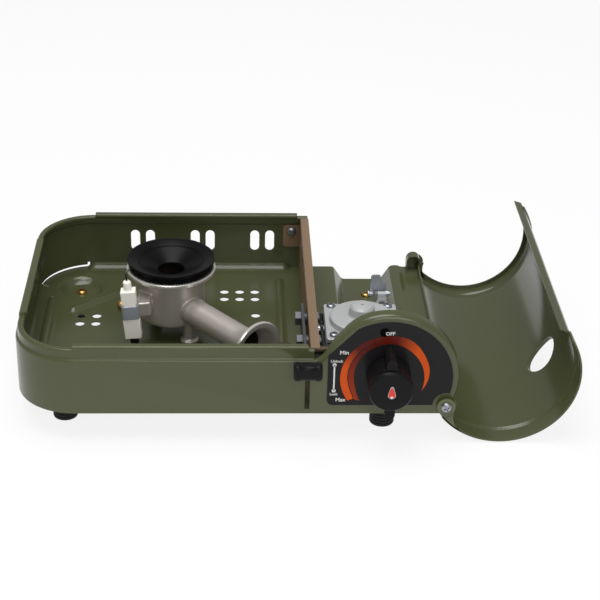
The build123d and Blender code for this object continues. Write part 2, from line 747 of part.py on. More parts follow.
def lever_pivot_pin():
    pin = rod_x(lever_pin, (lug_x[0], lever_arm_x[1] + 0.2), lever_y, lever_z)
    collar = rod_x(lever_pin + 1.2, (lug_x[1], lever_arm_x[0] - 0.2), lever_y, lever_z)
    head = rod_x(lever_pin + 1.2, (lever_arm_x[1] + 0.2, lever_arm_x[1] + 1.6), lever_y, lever_z)
    return pin + collar + head


# Igniter box and its lead
def piezo_igniter():
    box = block(piezo_x, piezo_y, piezo_z)
    box = fillet(box.edges().filter_by(Axis.Y), 2)
    z = sum(piezo_z) / 2
    return box + rod_y(2.4, sum(piezo_x) / 2, (piezo_y[1], piezo_y[1] + 3), z)


def ignition_lead():
    """Lead from the igniter box, across the bay floor and the tray to the electrode."""
    low = floor_z + lead_radius + run_gap
    right = sum(piezo_x) / 2
    plug = sum(piezo_z) / 2
    drop = spark_z - low
    path = FilletPolyline(
        (spark_x, spark_y, spark_z),
        (spark_x + drop * math.tan(math.radians(spark_lean)), spark_y, low),
        (spark_x + 9, lead_y, low),
        (right, lead_y, low),
        (right, lead_y, plug),
        (right, piezo_y[1] + 3, plug),
        radius=lead_bends,
    )
    return sweep(Plane(path @ 0, z_dir=path % 0) * Circle(lead_radius), path)


# Gas jet, bracket and bolts
def gas_jet():
    x, y = jet_xy
    half = jet_block / 2
    body = block((x - half, x + half), (y - half, y + half), jet_block_z)
    body = fillet(body.edges().filter_by(Axis.Z), 2)
    body += rod_x(pipe_collar, (x + half - 1, bracket_x[0]), y, pipe_z)
    body += rod_x(pipe_radius, (bracket_x[0] - 1, valve_x[0]), y, pipe_z)
    nut = extrude(RegularPolygon(nut_radius, 6), nut_length)
    body += Pos(valve_x[0] - nut_length, y, pipe_z) * Rot(0, 90, 0) * nut
    taper = Cone(jet_nose, nose_tip, nose_taper, align=(Align.CENTER, Align.CENTER, Align.MIN))
    nose = rod(jet_nose, nose_length) + Pos(0, 0, nose_length) * taper
    back = tuple(-v for v in tube_dir)
    nose_frame = Plane(origin=(x, y, tube_z), z_dir=back)
    return body + nose_frame.location * nose


def jet_bracket():
    plate = block(bracket_x, bracket_y, bracket_z)
    plate = fillet(plate.edges().filter_by(Axis.X), 3)
    through = (bracket_x[0] - 1, bracket_x[1] + 1)
    plate -= rod_x(pipe_radius + bolt_gap, through, jet_xy[1], pipe_z)
    for y, z in bolt_yz:
        spacer = rod_x(spacer_radius, (bracket_x[1], shield_x), y, z)
        plate += spacer
        plate -= rod_x(bolt_radius + bolt_gap, (bracket_x[0] - 1, shield_x + 1), y, z)
    return plate


def bracket_bolts():
    bolts = []
    for y, z in bolt_yz:
        head = Pos(bracket_x[0] - 3.5, y, z) * Rot(0, 90, 0) * extrude(RegularPolygon(bolt_head, 6), 3.5)
        nut = Pos(lug_x[1], y, z) * Rot(0, 90, 0) * extrude(RegularPolygon(bolt_nut[0], 6), bolt_nut[1])
        end = lug_x[1] + bolt_nut[1] + bolt_end
        bolts.append(head + nut + rod_x(bolt_radius, (bracket_x[0], end), y, z))
    return bolts


# Burner
def tube_frame():
    return Plane(origin=(burner_x, burner_y, tube_z), x_dir=(0, 0, 1), z_dir=tube_dir).location


def burner_body():
    """Casting: cup with its seat, mixing tube and trumpet, two legs and the igniter lug."""
    under = seat_z - seat_thick
    cup = turned([(0, cup_floor), (cup_outer - cup_round, cup_floor), (cup_outer, cup_floor + cup_round),
                  (cup_outer, under), (seat_radius, under), (seat_radius, seat_z), (0, seat_z)])
    inside = cup_floor + cup_wall
    hollow = turned([(0, inside), (cup_inner, inside), (cup_inner, seat_z + 1), (0, seat_z + 1)])
    flare = mouth_at - 16
    tube = turned([(0, 0), (tube_outer, 0), (tube_outer, flare), (9.6, flare + 6), (12.4, flare + 11.5),
                   (mouth_outer, mouth_at - 1.6), (mouth_outer, mouth_at), (0, mouth_at)])
    bore = turned([(0, 0), (tube_inner, 0), (tube_inner, flare), (7.6, flare + 6), (9.8, flare + 11.5),
                   (mouth_inner, mouth_at + 0.01), (0, mouth_at + 0.01)])
    body = Pos(burner_x, burner_y) * cup + tube_frame() * tube
    for x, y in leg_xy:
        body += rod_z(leg_radius, x, y, (floor_z, leg_top))
    width, front, back = igniter_lug
    body += spark_frame * block((clip_side, clip_side + width), (front, back), igniter_lug_z)
    body -= Pos(burner_x, burner_y) * hollow + tube_frame() * bore
    for x, y in leg_xy:
        body -= rod_z(foot_screw + bolt_gap, x, y, (0, floor_z + leg_screw + 1))
    return body - spark_frame * rod_x(clip_screw + bolt_gap, (0, clip_side + width - 1), *clip_screw_yz)


def burner_cap():
    rim_foot = cap_top - cap_rim
    ring = turned([(cap_hole, cap_throat[1]), (cup_inner - side_gap, seat_z), (cap_ring, seat_z),
                   (cap_ring, rim_foot), (cap_radius, rim_foot + 0.6), (cap_radius, cap_top - 0.4),
                   (cap_radius - 0.5, cap_top),
                   cap_lip, cap_dish, (cap_hole, cap_throat[0])])
    return Pos(burner_x, burner_y) * ring


def burner_screws():
    seat = floor_z - sheet
    return [screw_z(x, y, seat, floor_z + leg_screw, foot_screw, pan_head, pan_height) for x, y in leg_xy]


# Spark electrode
def igniter_insulator():
    """Ceramic in one piece: lower block, waist for the strap, upper block and round tip."""
    body = None
    base = 0
    for width, depth, top in (spark_lower, spark_waist, spark_upper):
        standing = (Align.CENTER, Align.CENTER, Align.MIN)
        piece = Pos(0, 0, base) * Box(width, depth, top - base, align=standing)
        piece = fillet(piece.edges().filter_by(Axis.Z), 1.2)
        body = piece if body is None else body + piece
        base = top
    tip = Pos(0, 0, base) * rod(spark_tip[0], spark_tip[1] - base)
    body += fillet(tip.edges().filter_by(GeomType.CIRCLE).sort_by(Axis.Z)[-1], 1.0)
    body -= Pos(0, 0, spark_tip[1] - 6) * rod(spark_wire, 7)
    return spark_frame * body


def igniter_electrode():
    """Wire out of the ceramic's tip, bent over towards the burner's rim."""
    top = spark_tip[1]
    path = FilletPolyline((0, 0, top - 6), (0, 0, top + 5.4), (2.4, 2.9, top + 6.2), radius=(1.4,))
    wire = sweep(Plane(path @ 0, z_dir=path % 0) * Circle(spark_wire), path)
    return spark_frame * wire


def igniter_clip():
    """Steel strap folded round the front of the ceramic's waist; its legs reach back to the screw."""
    half_x = spark_waist[0] / 2
    half_y = spark_waist[1] / 2
    z = (spark_lower[2] + 0.6, spark_waist[2] - 0.6)
    front = -half_y - clip_sheet
    strap = block((-clip_side, clip_side), (front, -half_y), z)
    for leg in ((-clip_side, -half_x), (half_x, clip_side)):
        strap += block(leg, (front, clip_tail), z)
    strap -= rod_x(clip_screw + bolt_gap, (-clip_side - 1, clip_side + 1), *clip_screw_yz)
    return spark_frame * strap


def clip_screw_piece():
    """Screw through both legs of the strap into the burner's lug."""
    end = clip_side + igniter_lug[0] - 1.5
    return spark_frame * screw_x(*clip_screw_yz, -clip_side, end, clip_screw, *clip_head)


# Lid
def lid():
    """Curved lid drawn closed over the bay, then swung open about its hinge."""
    def hoop(inner, outer, y, start=lid_from, end=lid_to):
        return deep(ring_sector(inner, outer, start, end), y, arch_x, arch_z)

    shell = hoop(lid_inner, lid_outer, (band_back, lid_back))
    shell += hoop(band_inner, band_outer, (lid_front, band_back + sheet), lid_from + 1)
    shell += hoop(lid_inner, band_outer, (band_back, band_back + sheet), lid_from + 1)
    shell += hoop(lid_flange_inner, lid_outer, (lid_back - sheet, lid_back))
    shell += hoop(lid_outer - 0.4, lid_outer + 0.8, (lid_back - 11.5, lid_back - 7.5))
    end = math.radians(lid_to)
    middle = (lid_inner + lid_outer) / 2
    foot = (arch_x + middle * math.cos(end), arch_z + middle * math.sin(end))
    tongue = Pos(*foot) * Rot(0, 0, lid_lip_direction) * Pos(lid_lip / 2 - 0.25, 0) * Rectangle(
        lid_lip + 0.5, sheet)
    shell += deep(tongue, (band_back + 0.5, lid_back))
    for y, inner, outer in ((lid_front, band_inner, band_outer), (lid_back - sheet, lid_inner, lid_outer)):
        start = math.radians(lid_from + 1)
        far = math.radians(lid_from + 14)
        web = outline((arch_x + outer * math.cos(start), arch_z + outer * math.sin(start)),
                      (arch_x + (inner + 0.5) * math.cos(far), arch_z + (inner + 0.5) * math.sin(far)),
                      (hinge_x - 3, hinge_z + 5.7), (hinge_x, hinge_z - ear_radius))
        ear = deep(web + Pos(hinge_x, hinge_z) * Circle(ear_radius), (y, y + sheet))
        ear -= rod_y(hinge_screw + run_gap, hinge_x, (y - 1, y + 2), hinge_z)
        shell += ear
    aim = Pos(arch_x, finger_hole_y, arch_z) * Rot(0, 90 - finger_hole_angle, 0)
    shell -= aim * Pos(0, 0, lid_inner - 8) * rod(finger_hole, 16)
    return shell.rotate(hinge_axis, lid_open)


def lid_hinge_screws():
    collar = hinge_screw + 0.8
    front_seat = lid_front - hinge_play
    rear_seat = lid_back + hinge_play
    front = screw_y(hinge_x, hinge_z, front_seat, 5.0, hinge_screw, pan_head, hinge_head)
    rear = screw_y(hinge_x, hinge_z, rear_seat, body_depth - 5, hinge_screw, pan_head, hinge_head)
    front += rod_y(collar, hinge_x, (lid_front + sheet + hinge_play, 0), hinge_z)
    rear += rod_y(collar, hinge_x, (body_depth, lid_back - sheet - hinge_play), hinge_z)
    return [front, rear]


# Feet
def foot(x, y, top):
    side = [(0, 0), (foot_radius - 1, 0), (foot_radius, 1), (foot_radius, top), (0, top)]
    body = Pos(x, y) * turned(side)
    return body - rod_z(foot_screw + bolt_gap, x, y, (top - 7, top + 1))


def foot_screws():
    screws = []
    left = (foot_left_x, foot_left_y, (left_foot_top, left_foot_top))
    right = (foot_right_x, foot_right_y, right_foot_top)
    for x, ends, tops in (left, right):
        for y, top in zip(ends, tops):
            screws.append(screw_z(x, y, top + sheet, top - 6, foot_screw, pan_head, pan_height))
    return screws


pieces = {
    "body_shell": body_shell(),
    "heat_shield": heat_shield(),
    "heat_shield_screw": heat_shield_screw(),
    "fascia_plate": fascia_plate(),
    "control_knob": control_knob(),
    "knob_pointer": knob_pointer(),
    "valve_spindle": valve_spindle(),
    "regulator_body": regulator_body(),
    "regulator_diaphragm": regulator_diaphragm(),
    "regulator_spring": regulator_spring(),
    "regulator_cover": regulator_cover(),
    "regulator_cover_screws": regulator_cover_screws(),
    "inlet_seal": inlet_seal(),
    "collar_pawl": collar_pawl(),
    "pawl_pin": pawl_pin(),
    "pawl_spring": pawl_spring(),
    "lever_knob": lever_knob(),
    "lever_arm": lever_arm(),
    "lever_pivot_pin": lever_pivot_pin(),
    "piezo_igniter": piezo_igniter(),
    "ignition_lead": ignition_lead(),
    "gas_jet": gas_jet(),
    "jet_bracket": jet_bracket(),
    "bracket_bolts": bracket_bolts(),
    "burner_body": burner_body(),
    "burner_cap": burner_cap(),
    "burner_screws": burner_screws(),
    "igniter_insulator": igniter_insulator(),
    "igniter_electrode": igniter_electrode(),
    "igniter_clip": igniter_clip(),
    "clip_screw": clip_screw_piece(),
    "lid": lid(),
    "lid_hinge_screws": lid_hinge_screws(),
    "foot_front_left": foot(foot_left_x, foot_left_y[0], left_foot_top),
    "foot_rear_left": foot(foot_left_x, foot_left_y[1], left_foot_top),
    "foot_front_right": foot(foot_right_x, foot_right_y[0], right_foot_top[0]),
    "foot_rear_right": foot(foot_right_x, foot_right_y[1], right_foot_top[1]),
    "foot_screws": foot_screws(),
}

os.makedirs("parts", exist_ok=True)
to_origin = Pos(*(-v for v in origin))
for name, piece in pieces.items():
    solids = piece if isinstance(piece, list) else [piece]
    moved = [solid for part in solids for solid in (to_origin * part).solids()]
    shape = moved[0] if len(moved) == 1 else Compound(children=moved)
    export_step(shape, f"parts/{name}.step")
    box = shape.bounding_box()
    print(f"{name}: {len(moved)} solid, {box.min} to {box.max}")
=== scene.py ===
"""Blender scene of a single-burner camping stove, open, with its cartridge lid swung out to the right.

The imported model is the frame. Lengths are millimetres, as on a workshop drawing: X from the tray's
left wall, Y from its front wall and Z from the table. They are placed in metres.
"""
import math

import bmesh
import bpy
from mathutils import Matrix, Vector, geometry


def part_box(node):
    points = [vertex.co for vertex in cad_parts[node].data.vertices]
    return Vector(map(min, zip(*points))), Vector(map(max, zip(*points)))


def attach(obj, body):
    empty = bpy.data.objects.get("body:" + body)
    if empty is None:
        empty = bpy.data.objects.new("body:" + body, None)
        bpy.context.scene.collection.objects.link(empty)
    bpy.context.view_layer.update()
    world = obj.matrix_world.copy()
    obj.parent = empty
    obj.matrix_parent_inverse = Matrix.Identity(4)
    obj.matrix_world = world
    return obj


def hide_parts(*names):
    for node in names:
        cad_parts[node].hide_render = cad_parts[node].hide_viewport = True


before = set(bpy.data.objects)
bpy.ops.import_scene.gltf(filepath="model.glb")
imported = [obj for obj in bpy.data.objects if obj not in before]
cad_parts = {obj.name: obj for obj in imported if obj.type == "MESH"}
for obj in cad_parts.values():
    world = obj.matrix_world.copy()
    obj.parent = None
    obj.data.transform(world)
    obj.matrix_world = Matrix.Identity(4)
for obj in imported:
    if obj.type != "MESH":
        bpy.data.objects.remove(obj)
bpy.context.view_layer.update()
scene = bpy.context.scene

# Tray wall
# One strip of drawn steel sheet with a stepped shoulder and a turned-in rim, painted satin olive. The
# rim's straight stretches carry the pan support; slots at the back and the rear corner's foot let air in.
tray_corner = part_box("body_shell")[0]
SHEET = 1.0
DEPTH = 181.6
CORNER = 36.0
SKIRT_Z = 18.5
SHOULDER_Z = 54.0
RIM_Z = 60.2
FLANGE_Z = 62.2
JOGGLE = 1.5
WALL_END = 174.0
BACK_END = 177.0
RAISED_FRONT = (36.01, 171.0)
RAISED_LEFT = (42.0, 140.0)
RAISED_BACK = (36.01, 170.3)
SLOT_X = (62.0, 72.0, 102.0, 112.0, 142.0, 152.0)
GRAIN_DEPTH = 0.0002        # metres
RUBBED_FROM = 0.53          # pointiness above which an edge shows wear


def placed(x, y, z):
    """A point of the drawing in the row frame."""
    return Vector((tray_corner.x + x / 1000, tray_corner.y + y / 1000, z / 1000))


def paint_card(red, green, blue):
    """A colour as read off a card, 0 to 255, in linear light."""
    parts = [v / 255 for v in (red, green, blue)]
    return [v / 12.92 if v <= 0.04045 else ((v + 0.055) / 1.055) ** 2.4 for v in parts] + [1.0]


def socket_group(name, inputs, outputs):
    """An empty node group with its sockets."""
    tree = bpy.data.node_groups.new(name, "ShaderNodeTree")
    for label, kind, value in inputs:
        tree.interface.new_socket(label, in_out="INPUT", socket_type=kind).default_value = value
    for label, kind in outputs:
        tree.interface.new_socket(label, in_out="OUTPUT", socket_type=kind)
    return tree, tree.nodes.new("NodeGroupInput"), tree.nodes.new("NodeGroupOutput")


def maths(tree, operation, *values):
    """A Math node whose inputs are sockets or plain numbers."""
    node = tree.nodes.new("ShaderNodeMath")
    node.operation = operation
    for socket, value in zip(node.inputs, values):
        if isinstance(value, (int, float)):
            socket.default_value = value
        else:
            tree.links.new(value, socket)
    return node.outputs[0]


def wired(tree, *pairs):
    """Links sockets, output to input."""
    for source, target in pairs:
        tree.links.new(source, target)


def noise(tree, scale, detail):
    """Noise on the piece's own coordinates, in metres."""
    texture = tree.nodes.new("ShaderNodeTexNoise")
    texture.inputs["Detail"].default_value = detail
    tree.links.new(tree.nodes.new("ShaderNodeTexCoord").outputs["Object"], texture.inputs["Vector"])
    if isinstance(scale, (int, float)):
        texture.inputs["Scale"].default_value = scale
    else:
        tree.links.new(scale, texture.inputs["Scale"])
    return texture.outputs["Fac"]


GRAIN, grain_in, grain_out = socket_group(
    "surface_grain",
    [("Color", "NodeSocketColor", (1, 1, 1, 1)), ("Shade", "NodeSocketFloat", 0.1),
     ("Scale", "NodeSocketFloat", 900), ("Roughness", "NodeSocketFloat", 0.5),
     ("Spread", "NodeSocketFloat", 0.1), ("Rub", "NodeSocketFloat", 0.0)],
    [("Color", "NodeSocketColor"), ("Roughness", "NodeSocketFloat"), ("Height", "NodeSocketFloat")])
fine = noise(GRAIN, grain_in.outputs["Scale"], 4.0)
broad = noise(GRAIN, 28.0, 3.0)
mean = maths(GRAIN, "MULTIPLY_ADD", fine, 0.5, maths(GRAIN, "MULTIPLY", broad, 0.5))
swing = maths(GRAIN, "SUBTRACT", mean, 0.5)
edge = GRAIN.nodes.new("ShaderNodeNewGeometry").outputs["Pointiness"]
worn = maths(GRAIN, "MULTIPLY", maths(GRAIN, "MAXIMUM", maths(GRAIN, "SUBTRACT", edge, RUBBED_FROM), 0.0),
             grain_in.outputs["Rub"])
level = maths(GRAIN, "ADD", maths(GRAIN, "MULTIPLY_ADD", swing, grain_in.outputs["Shade"], 1.0), worn)
tone = GRAIN.nodes.new("ShaderNodeHueSaturation")
uneven = maths(GRAIN, "MULTIPLY_ADD", swing, grain_in.outputs["Spread"], grain_in.outputs["Roughness"])
wired(GRAIN, (level, tone.inputs["Value"]), (grain_in.outputs["Color"], tone.inputs["Color"]),
      (tone.outputs["Color"], grain_out.inputs["Color"]), (uneven, grain_out.inputs["Roughness"]),
      (fine, grain_out.inputs["Height"]))


def surface(name, card, roughness, metallic=0.0, shade=0.2, scale=1500, spread=0.2, rub=0.0, bump=0.1,
            specular=0.5):
    """A painted, cast or moulded finish: grain in colour and roughness, a fine bump and rubbed edges."""
    material = bpy.data.materials.new(name)
    material.use_nodes = True
    tree = material.node_tree
    shader = tree.nodes["Principled BSDF"]
    grain = tree.nodes.new("ShaderNodeGroup")
    grain.node_tree = GRAIN
    for label, value in (("Color", paint_card(*card)), ("Shade", shade), ("Scale", scale),
                         ("Roughness", roughness), ("Spread", spread), ("Rub", rub)):
        grain.inputs[label].default_value = value
    relief = tree.nodes.new("ShaderNodeBump")
    relief.inputs["Strength"].default_value = bump
    relief.inputs["Distance"].default_value = GRAIN_DEPTH
    wired(tree, (grain.outputs["Height"], relief.inputs["Height"]),
          (grain.outputs["Color"], shader.inputs["Base Color"]),
          (grain.outputs["Roughness"], shader.inputs["Roughness"]),
          (relief.outputs["Normal"], shader.inputs["Normal"]))
    shader.inputs["Metallic"].default_value = metallic
    shader.inputs["Specular IOR Level"].default_value = specular
    return material


def bent(corners, radius, steps=4):
    """A line of (u, v) points whose inner corners are rounded like a bend in sheet."""
    line = [Vector(corners[0])]
    for before, corner, after in zip(corners, corners[1:], corners[2:]):
        corner = Vector(corner)
        back = Vector(before) - corner
        on = Vector(after) - corner
        reach = min(radius, 0.49 * back.length, 0.49 * on.length)
        start = corner + back.normalized() * reach
        end = corner + on.normalized() * reach
        for k in range(steps + 1):
            t = k / steps
            line.append(start * (1 - t) ** 2 + corner * 2 * t * (1 - t) + end * t ** 2)
    return line + [Vector(corners[-1])]


def thickened(line, thick):
    """Closed outline of a sheet: the line, then back along it, thick to the left of its direction."""
    inner = []
    for n, point in enumerate(line):
        ahead = (line[min(n + 1, len(line) - 1)] - point).normalized()
        behind = (point - line[max(n - 1, 0)]).normalized()
        run = (ahead + behind).normalized()
        widen = 1 / max(0.5, run.dot(ahead if ahead.length else behind))
        inner.append(point + Vector((-run.y, run.x)) * thick * widen)
    return line + inner[::-1]


def ring_faces(rings, count, closed=False, capped=True):
    """Faces between successive closed rings of count points."""
    faces = []
    for r in range(rings if closed else rings - 1):
        low = r * count
        high = (r + 1) % rings * count
        faces += [(low + k, low + (k + 1) % count, high + (k + 1) % count, high + k)
                  for k in range(count)]
    if capped and not closed:
        faces += [tuple(range(count))[::-1], tuple(range((rings - 1) * count, rings * count))]
    return faces


def shown(name, data):
    """A new object in the scene."""
    made = bpy.data.objects.new(name, data)
    scene.collection.objects.link(made)
    return made


def solid(name, points, faces):
    """A mesh object from points of the drawing."""
    mesh = bpy.data.meshes.new(name)
    mesh.from_pydata([placed(*p) for p in points], [], faces)
    work = bmesh.new()
    work.from_mesh(mesh)
    bmesh.ops.remove_doubles(work, verts=work.verts, dist=2e-6)
    bmesh.ops.dissolve_degenerate(work, edges=work.edges, dist=1e-7)
    bmesh.ops.recalc_face_normals(work, faces=work.faces)
    work.to_mesh(mesh)
    work.free()
    return shown(name, mesh)


def soften(made, width, segments, angle):
    """Rounds the edges of a piece that turn by more than an angle."""
    soft = made.modifiers.new("soft_edge", "BEVEL")
    soft.width = width / 1000
    soft.segments = segments
    soft.limit_method = "ANGLE"
    soft.angle_limit = math.radians(angle)


def settle(made, material, slot, node=None, body="stove_body", crease=35, bevel=0.0):
    """Gives a piece its finish, shading and soft edges, attaches it to the frame's body and hides the node
    that it stands in for.
    """
    made.data.materials.clear()
    made.data.materials.append(material)
    made.data.shade_smooth()
    made.data.set_sharp_from_angle(angle=math.radians(crease))
    if bevel:
        soften(made, bevel, 3, crease)
    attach(made, body)
    if node:
        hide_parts(node)


def prism(outline, span, axis):
    """An outline (u, v) given length along an axis: z takes X and Y, y takes X and Z, x takes Y and Z."""
    order = {"z": (0, 1, 2), "y": (0, 2, 1), "x": (2, 0, 1)}[axis]
    points = [tuple((u, v, w)[n] for n in order) for w in span for u, v in outline]
    return points, ring_faces(2, len(outline))


def merged(*shapes):
    """Several (points, faces) shapes as one."""
    points, faces = [], []
    for more_points, more_faces in shapes:
        faces += [tuple(n + len(points) for n in face) for face in more_faces]
        points += list(more_points)
    return points, faces


def frozen(made):
    """A piece's mesh with its modifiers applied."""
    bpy.context.view_layer.update()
    return bpy.data.meshes.new_from_object(made.evaluated_get(bpy.context.evaluated_depsgraph_get()))


def carved(made, *shapes, operation="DIFFERENCE"):
    """Cuts shapes out of a piece, or joins them to it, one after another."""
    for shape in shapes:
        tool = solid("tool", *shape)
        cut = made.modifiers.new("cut", "BOOLEAN")
        cut.operation = operation
        cut.solver = "EXACT"
        cut.object = tool
        made.data = frozen(made)
        made.modifiers.remove(cut)
        bpy.data.objects.remove(tool)
    return made


def arc(center, radius, start, end, steps):
    """Points along an arc, between two angles in degrees."""
    turns = [math.radians(start + (end - start) * k / steps) for k in range(steps + 1)]
    return [Vector((center[0] + radius * math.cos(t), center[1] + radius * math.sin(t))) for t in turns]


def oblong(x, y):
    """A rectangle between two pairs of limits."""
    return [(x[0], y[0]), (x[1], y[0]), (x[1], y[1]), (x[0], y[1])]


def stadium(center, width, height, steps=8):
    """A slot with round ends, standing upright."""
    r = width / 2
    rise = height / 2 - r
    top = arc((center[0], center[1] + rise), r, 0, 180, steps)
    return top + arc((center[0], center[1] - rise), r, 180, 360, steps)


def wall_path():
    """Stations round the tray: place on the outer face, inward direction and lift of the rim."""
    def stretch(start, end, inward, raised):
        marks = [0.0, 1.0]
        run = (Vector(end) - Vector(start)).length
        for limit in raised:
            marks += [limit / run, (limit + (0.35 if limit == raised[0] else -0.35)) / run]
        stations = []
        for t in sorted(set(marks)):
            lift = raised[0] + 0.3 <= t * run <= raised[1] - 0.3
            stations.append((Vector(start).lerp(Vector(end), t), Vector(inward), float(lift)))
        return stations

    def turn(center, start):
        corner_line = arc(center, CORNER, start, start - 90, 20)[1:-1]
        return [(p, (Vector(center) - p).normalized(), 0.0) for p in corner_line]

    front = stretch((WALL_END, 0), (CORNER, 0), (0, 1), [WALL_END - x for x in RAISED_FRONT[::-1]])
    left = stretch((0, CORNER), (0, DEPTH - CORNER), (1, 0), [y - CORNER for y in RAISED_LEFT])
    back = stretch((CORNER, DEPTH), (BACK_END, DEPTH), (0, -1), [x - CORNER for x in RAISED_BACK])
    return front + turn((CORNER, CORNER), 270) + left + turn((CORNER, DEPTH - CORNER), 180) + back


def wall_ring(place, inward, lift):
    """Section of the wall: skirt, shoulder, upper wall and turned-in rim."""
    top = RIM_Z + (FLANGE_Z - RIM_Z) * lift
    reach = JOGGLE + 3.5 + lift
    line = bent([(0, SKIRT_Z), (0, SHOULDER_Z - 0.6), (JOGGLE, SHOULDER_Z + 0.6), (JOGGLE, top),
                 (reach, top), (reach + 0.2, top - 1.6)], 1.3)
    return [(*(place + inward * d), z) for d, z in thickened(line, -SHEET)]


stations = wall_path()
rings = [wall_ring(*station) for station in stations]
wall_points = [p for ring in rings for p in ring]
tray_wall = solid("tray_wall", wall_points, ring_faces(len(rings), len(rings[0])))
slot_cuts = [prism(stadium((x, 41.0), 6.0, 15.0), (DEPTH - 3, DEPTH + 2), "y") for x in SLOT_X]
lever_slot = prism(oblong((169.05, 171.95), (21.5, 53.0)), (-2, 3), "y")
rear_corner = (CORNER, DEPTH - CORNER)


def corner_cut(start, end, top):
    """A cut through the rear corner's wall, from the floor up."""
    outline = arc(rear_corner, CORNER + 2, start, end, 24) + arc(rear_corner, CORNER - 3, end, start, 24)
    return prism(outline, (21.0, top), "z")


carved(tray_wall, merged(*slot_cuts, lever_slot), corner_cut(100.0, 170.0, 22.7),
       corner_cut(98.5, 101.0, 24.6), corner_cut(169.0, 171.5, 24.6))
OLIVE = surface("olive_paint", (73, 77, 50), 0.19, shade=0.12, scale=2600, spread=0.08, rub=1.2, bump=0.06,
                specular=0.42)


def painted(made, crease=40, bevel=0.0, of=("body_shell", "stove_body")):
    """Settles a piece of the olive sheet work, which stands for a node on a body."""
    settle(made, OLIVE, "olive_paint", *of, crease, bevel)


painted(tray_wall)

# Tray floor
# Pressed from the same sheet: a ledge along the walls, stiffening beads and a dished seat round each
# foot screw. Vent holes are punched through, and the ledge stops short of the rear corner's slot.
FLOOR_Z = 21.0
FEET_LEFT = ((27.6, 27.6), (27.6, 151.0))
BEADS = (((10.5, 69.0), (10.5, 133.0), 3.0), ((158.0, 70.0), (158.0, 160.0), 2.0),
         ((24.5, 119.0), (54.0, 144.0), 2.0))
LEDGE_RISE = 3.5
BEAD_RISE = 2.0
SEAT_SINK = 4.3
CORNER_ROWS, SIDE_ROWS = 26, 80
VENTS = ([(x, y) for x in (121.8, 131.8, 141.8) for y in (135.0, 145.0)]
         + [(x, y) for x in (30.5, 40.5) for y in (102.0, 112.0)] + [(142.0, 113.0)])


def eased(value, low, high):
    """A smooth step from 0 to 1."""
    t = min(1.0, max(0.0, (value - low) / (high - low)))
    return t * t * (3 - 2 * t)


def from_line(point, start, end):
    """Distance of a point from a straight stretch."""
    run = Vector(end) - Vector(start)
    t = min(1.0, max(0.0, (point - Vector(start)).dot(run) / run.length_squared))
    return (Vector(start) + run * t - point).length


def floor_height(x, y):
    """Height of the floor's upper face."""
    off_x = CORNER - x
    off_y = max(CORNER - y, y - (DEPTH - CORNER))
    wall = CORNER - math.hypot(off_x, off_y) if off_x > 0 and off_y > 0 else min(x, y, DEPTH - y)
    point = Vector((x, y))
    ledge = LEDGE_RISE * (1 - eased(wall, 1.0, 8.5)) * (1 - eased(x, 162.0, 166.0))
    if off_x > 0 and y > DEPTH - CORNER:
        ledge *= eased(abs(math.degrees(math.atan2(y - rear_corner[1], off_x)) - 45), 35.0, 39.0)
    z = FLOOR_Z + ledge
    for start, end, half in BEADS:
        z += BEAD_RISE * (1 - eased(from_line(point, start, end), 0.5 * half, half + 0.6))
    for seat in FEET_LEFT:
        z -= SEAT_SINK * (1 - eased((point - Vector(seat)).length, 10.4, 15.4))
    return z


turned = [CORNER - (CORNER - 0.5) * math.cos(math.radians(90 * k / CORNER_ROWS))
          for k in range(CORNER_ROWS + 1)]
rows = (turned + [CORNER + (DEPTH - 2 * CORNER) * k / SIDE_ROWS for k in range(1, SIDE_ROWS)]
        + [DEPTH - y for y in turned[::-1]])
columns = 126
floor_points = []
for layer in (0.0, SHEET):
    for y in rows:
        deep_in = max(CORNER - y, y - (DEPTH - CORNER), 0.0)
        left_edge = CORNER - math.sqrt(max(0.0, (CORNER - 0.5) ** 2 - deep_in ** 2))
        for c in range(columns):
            x = left_edge + (0.8 * c if c < 11 else 8.0 + (169.0 - left_edge) * (c - 10) / (columns - 11))
            floor_points.append((x, y, floor_height(x, y) - layer))
sheet_size = len(rows) * columns
floor_faces = []
for r in range(len(rows) - 1):
    for c in range(columns - 1):
        a = r * columns + c
        quad = (a, a + 1, a + columns + 1, a + columns)
        floor_faces += [quad, tuple(n + sheet_size for n in quad[::-1])]
around = (list(range(columns)) + [r * columns + columns - 1 for r in range(1, len(rows))]
          + [(len(rows) - 1) * columns + c for c in range(columns - 2, -1, -1)]
          + [r * columns for r in range(len(rows) - 2, 0, -1)])
floor_faces += [(a, b, b + sheet_size, a + sheet_size) for a, b in zip(around, around[1:] + around[:1])]
tray_floor = solid("tray_floor", floor_points, floor_faces)
vent_cuts = [prism(arc(vent, 3.0, 0, 345, 23), (15, 30), "z") for vent in VENTS]
carved(tray_floor, merged(*vent_cuts))
painted(tray_floor, 50)

# Cartridge bay floor
# A folded sheet beside the tray: level at the front, then a trough below the cartridge, with a low ridge
# along it and a lip on the right.
ridge_and_lip = [(236.0, 22.1), (239.5, 22.1), (241.5, 21.0), (252.5, 21.0), (252.5, 25.2)]
bay_line = bent([(173.5, 21.0), (195.5, 21.0), (201.7, 11.5), (227.9, 11.5), (233.8, 21.2)] + ridge_and_lip,
                1.8)
level_line = bent([(173.5, 21.0), (233.8, 21.0)] + ridge_and_lip, 1.8)
trough_end = [(195.8, 20.6), (201.7, 10.6), (227.9, 10.6), (233.6, 20.6)]
bay_floor = solid("bay_floor", *merged(prism(thickened(bay_line, -SHEET), (34.0, DEPTH), "y"),
                                       prism(thickened(level_line, -SHEET), (1.0, 34.9), "y"),
                                       prism(trough_end, (34.0, 34.9), "y")))
painted(bay_floor)

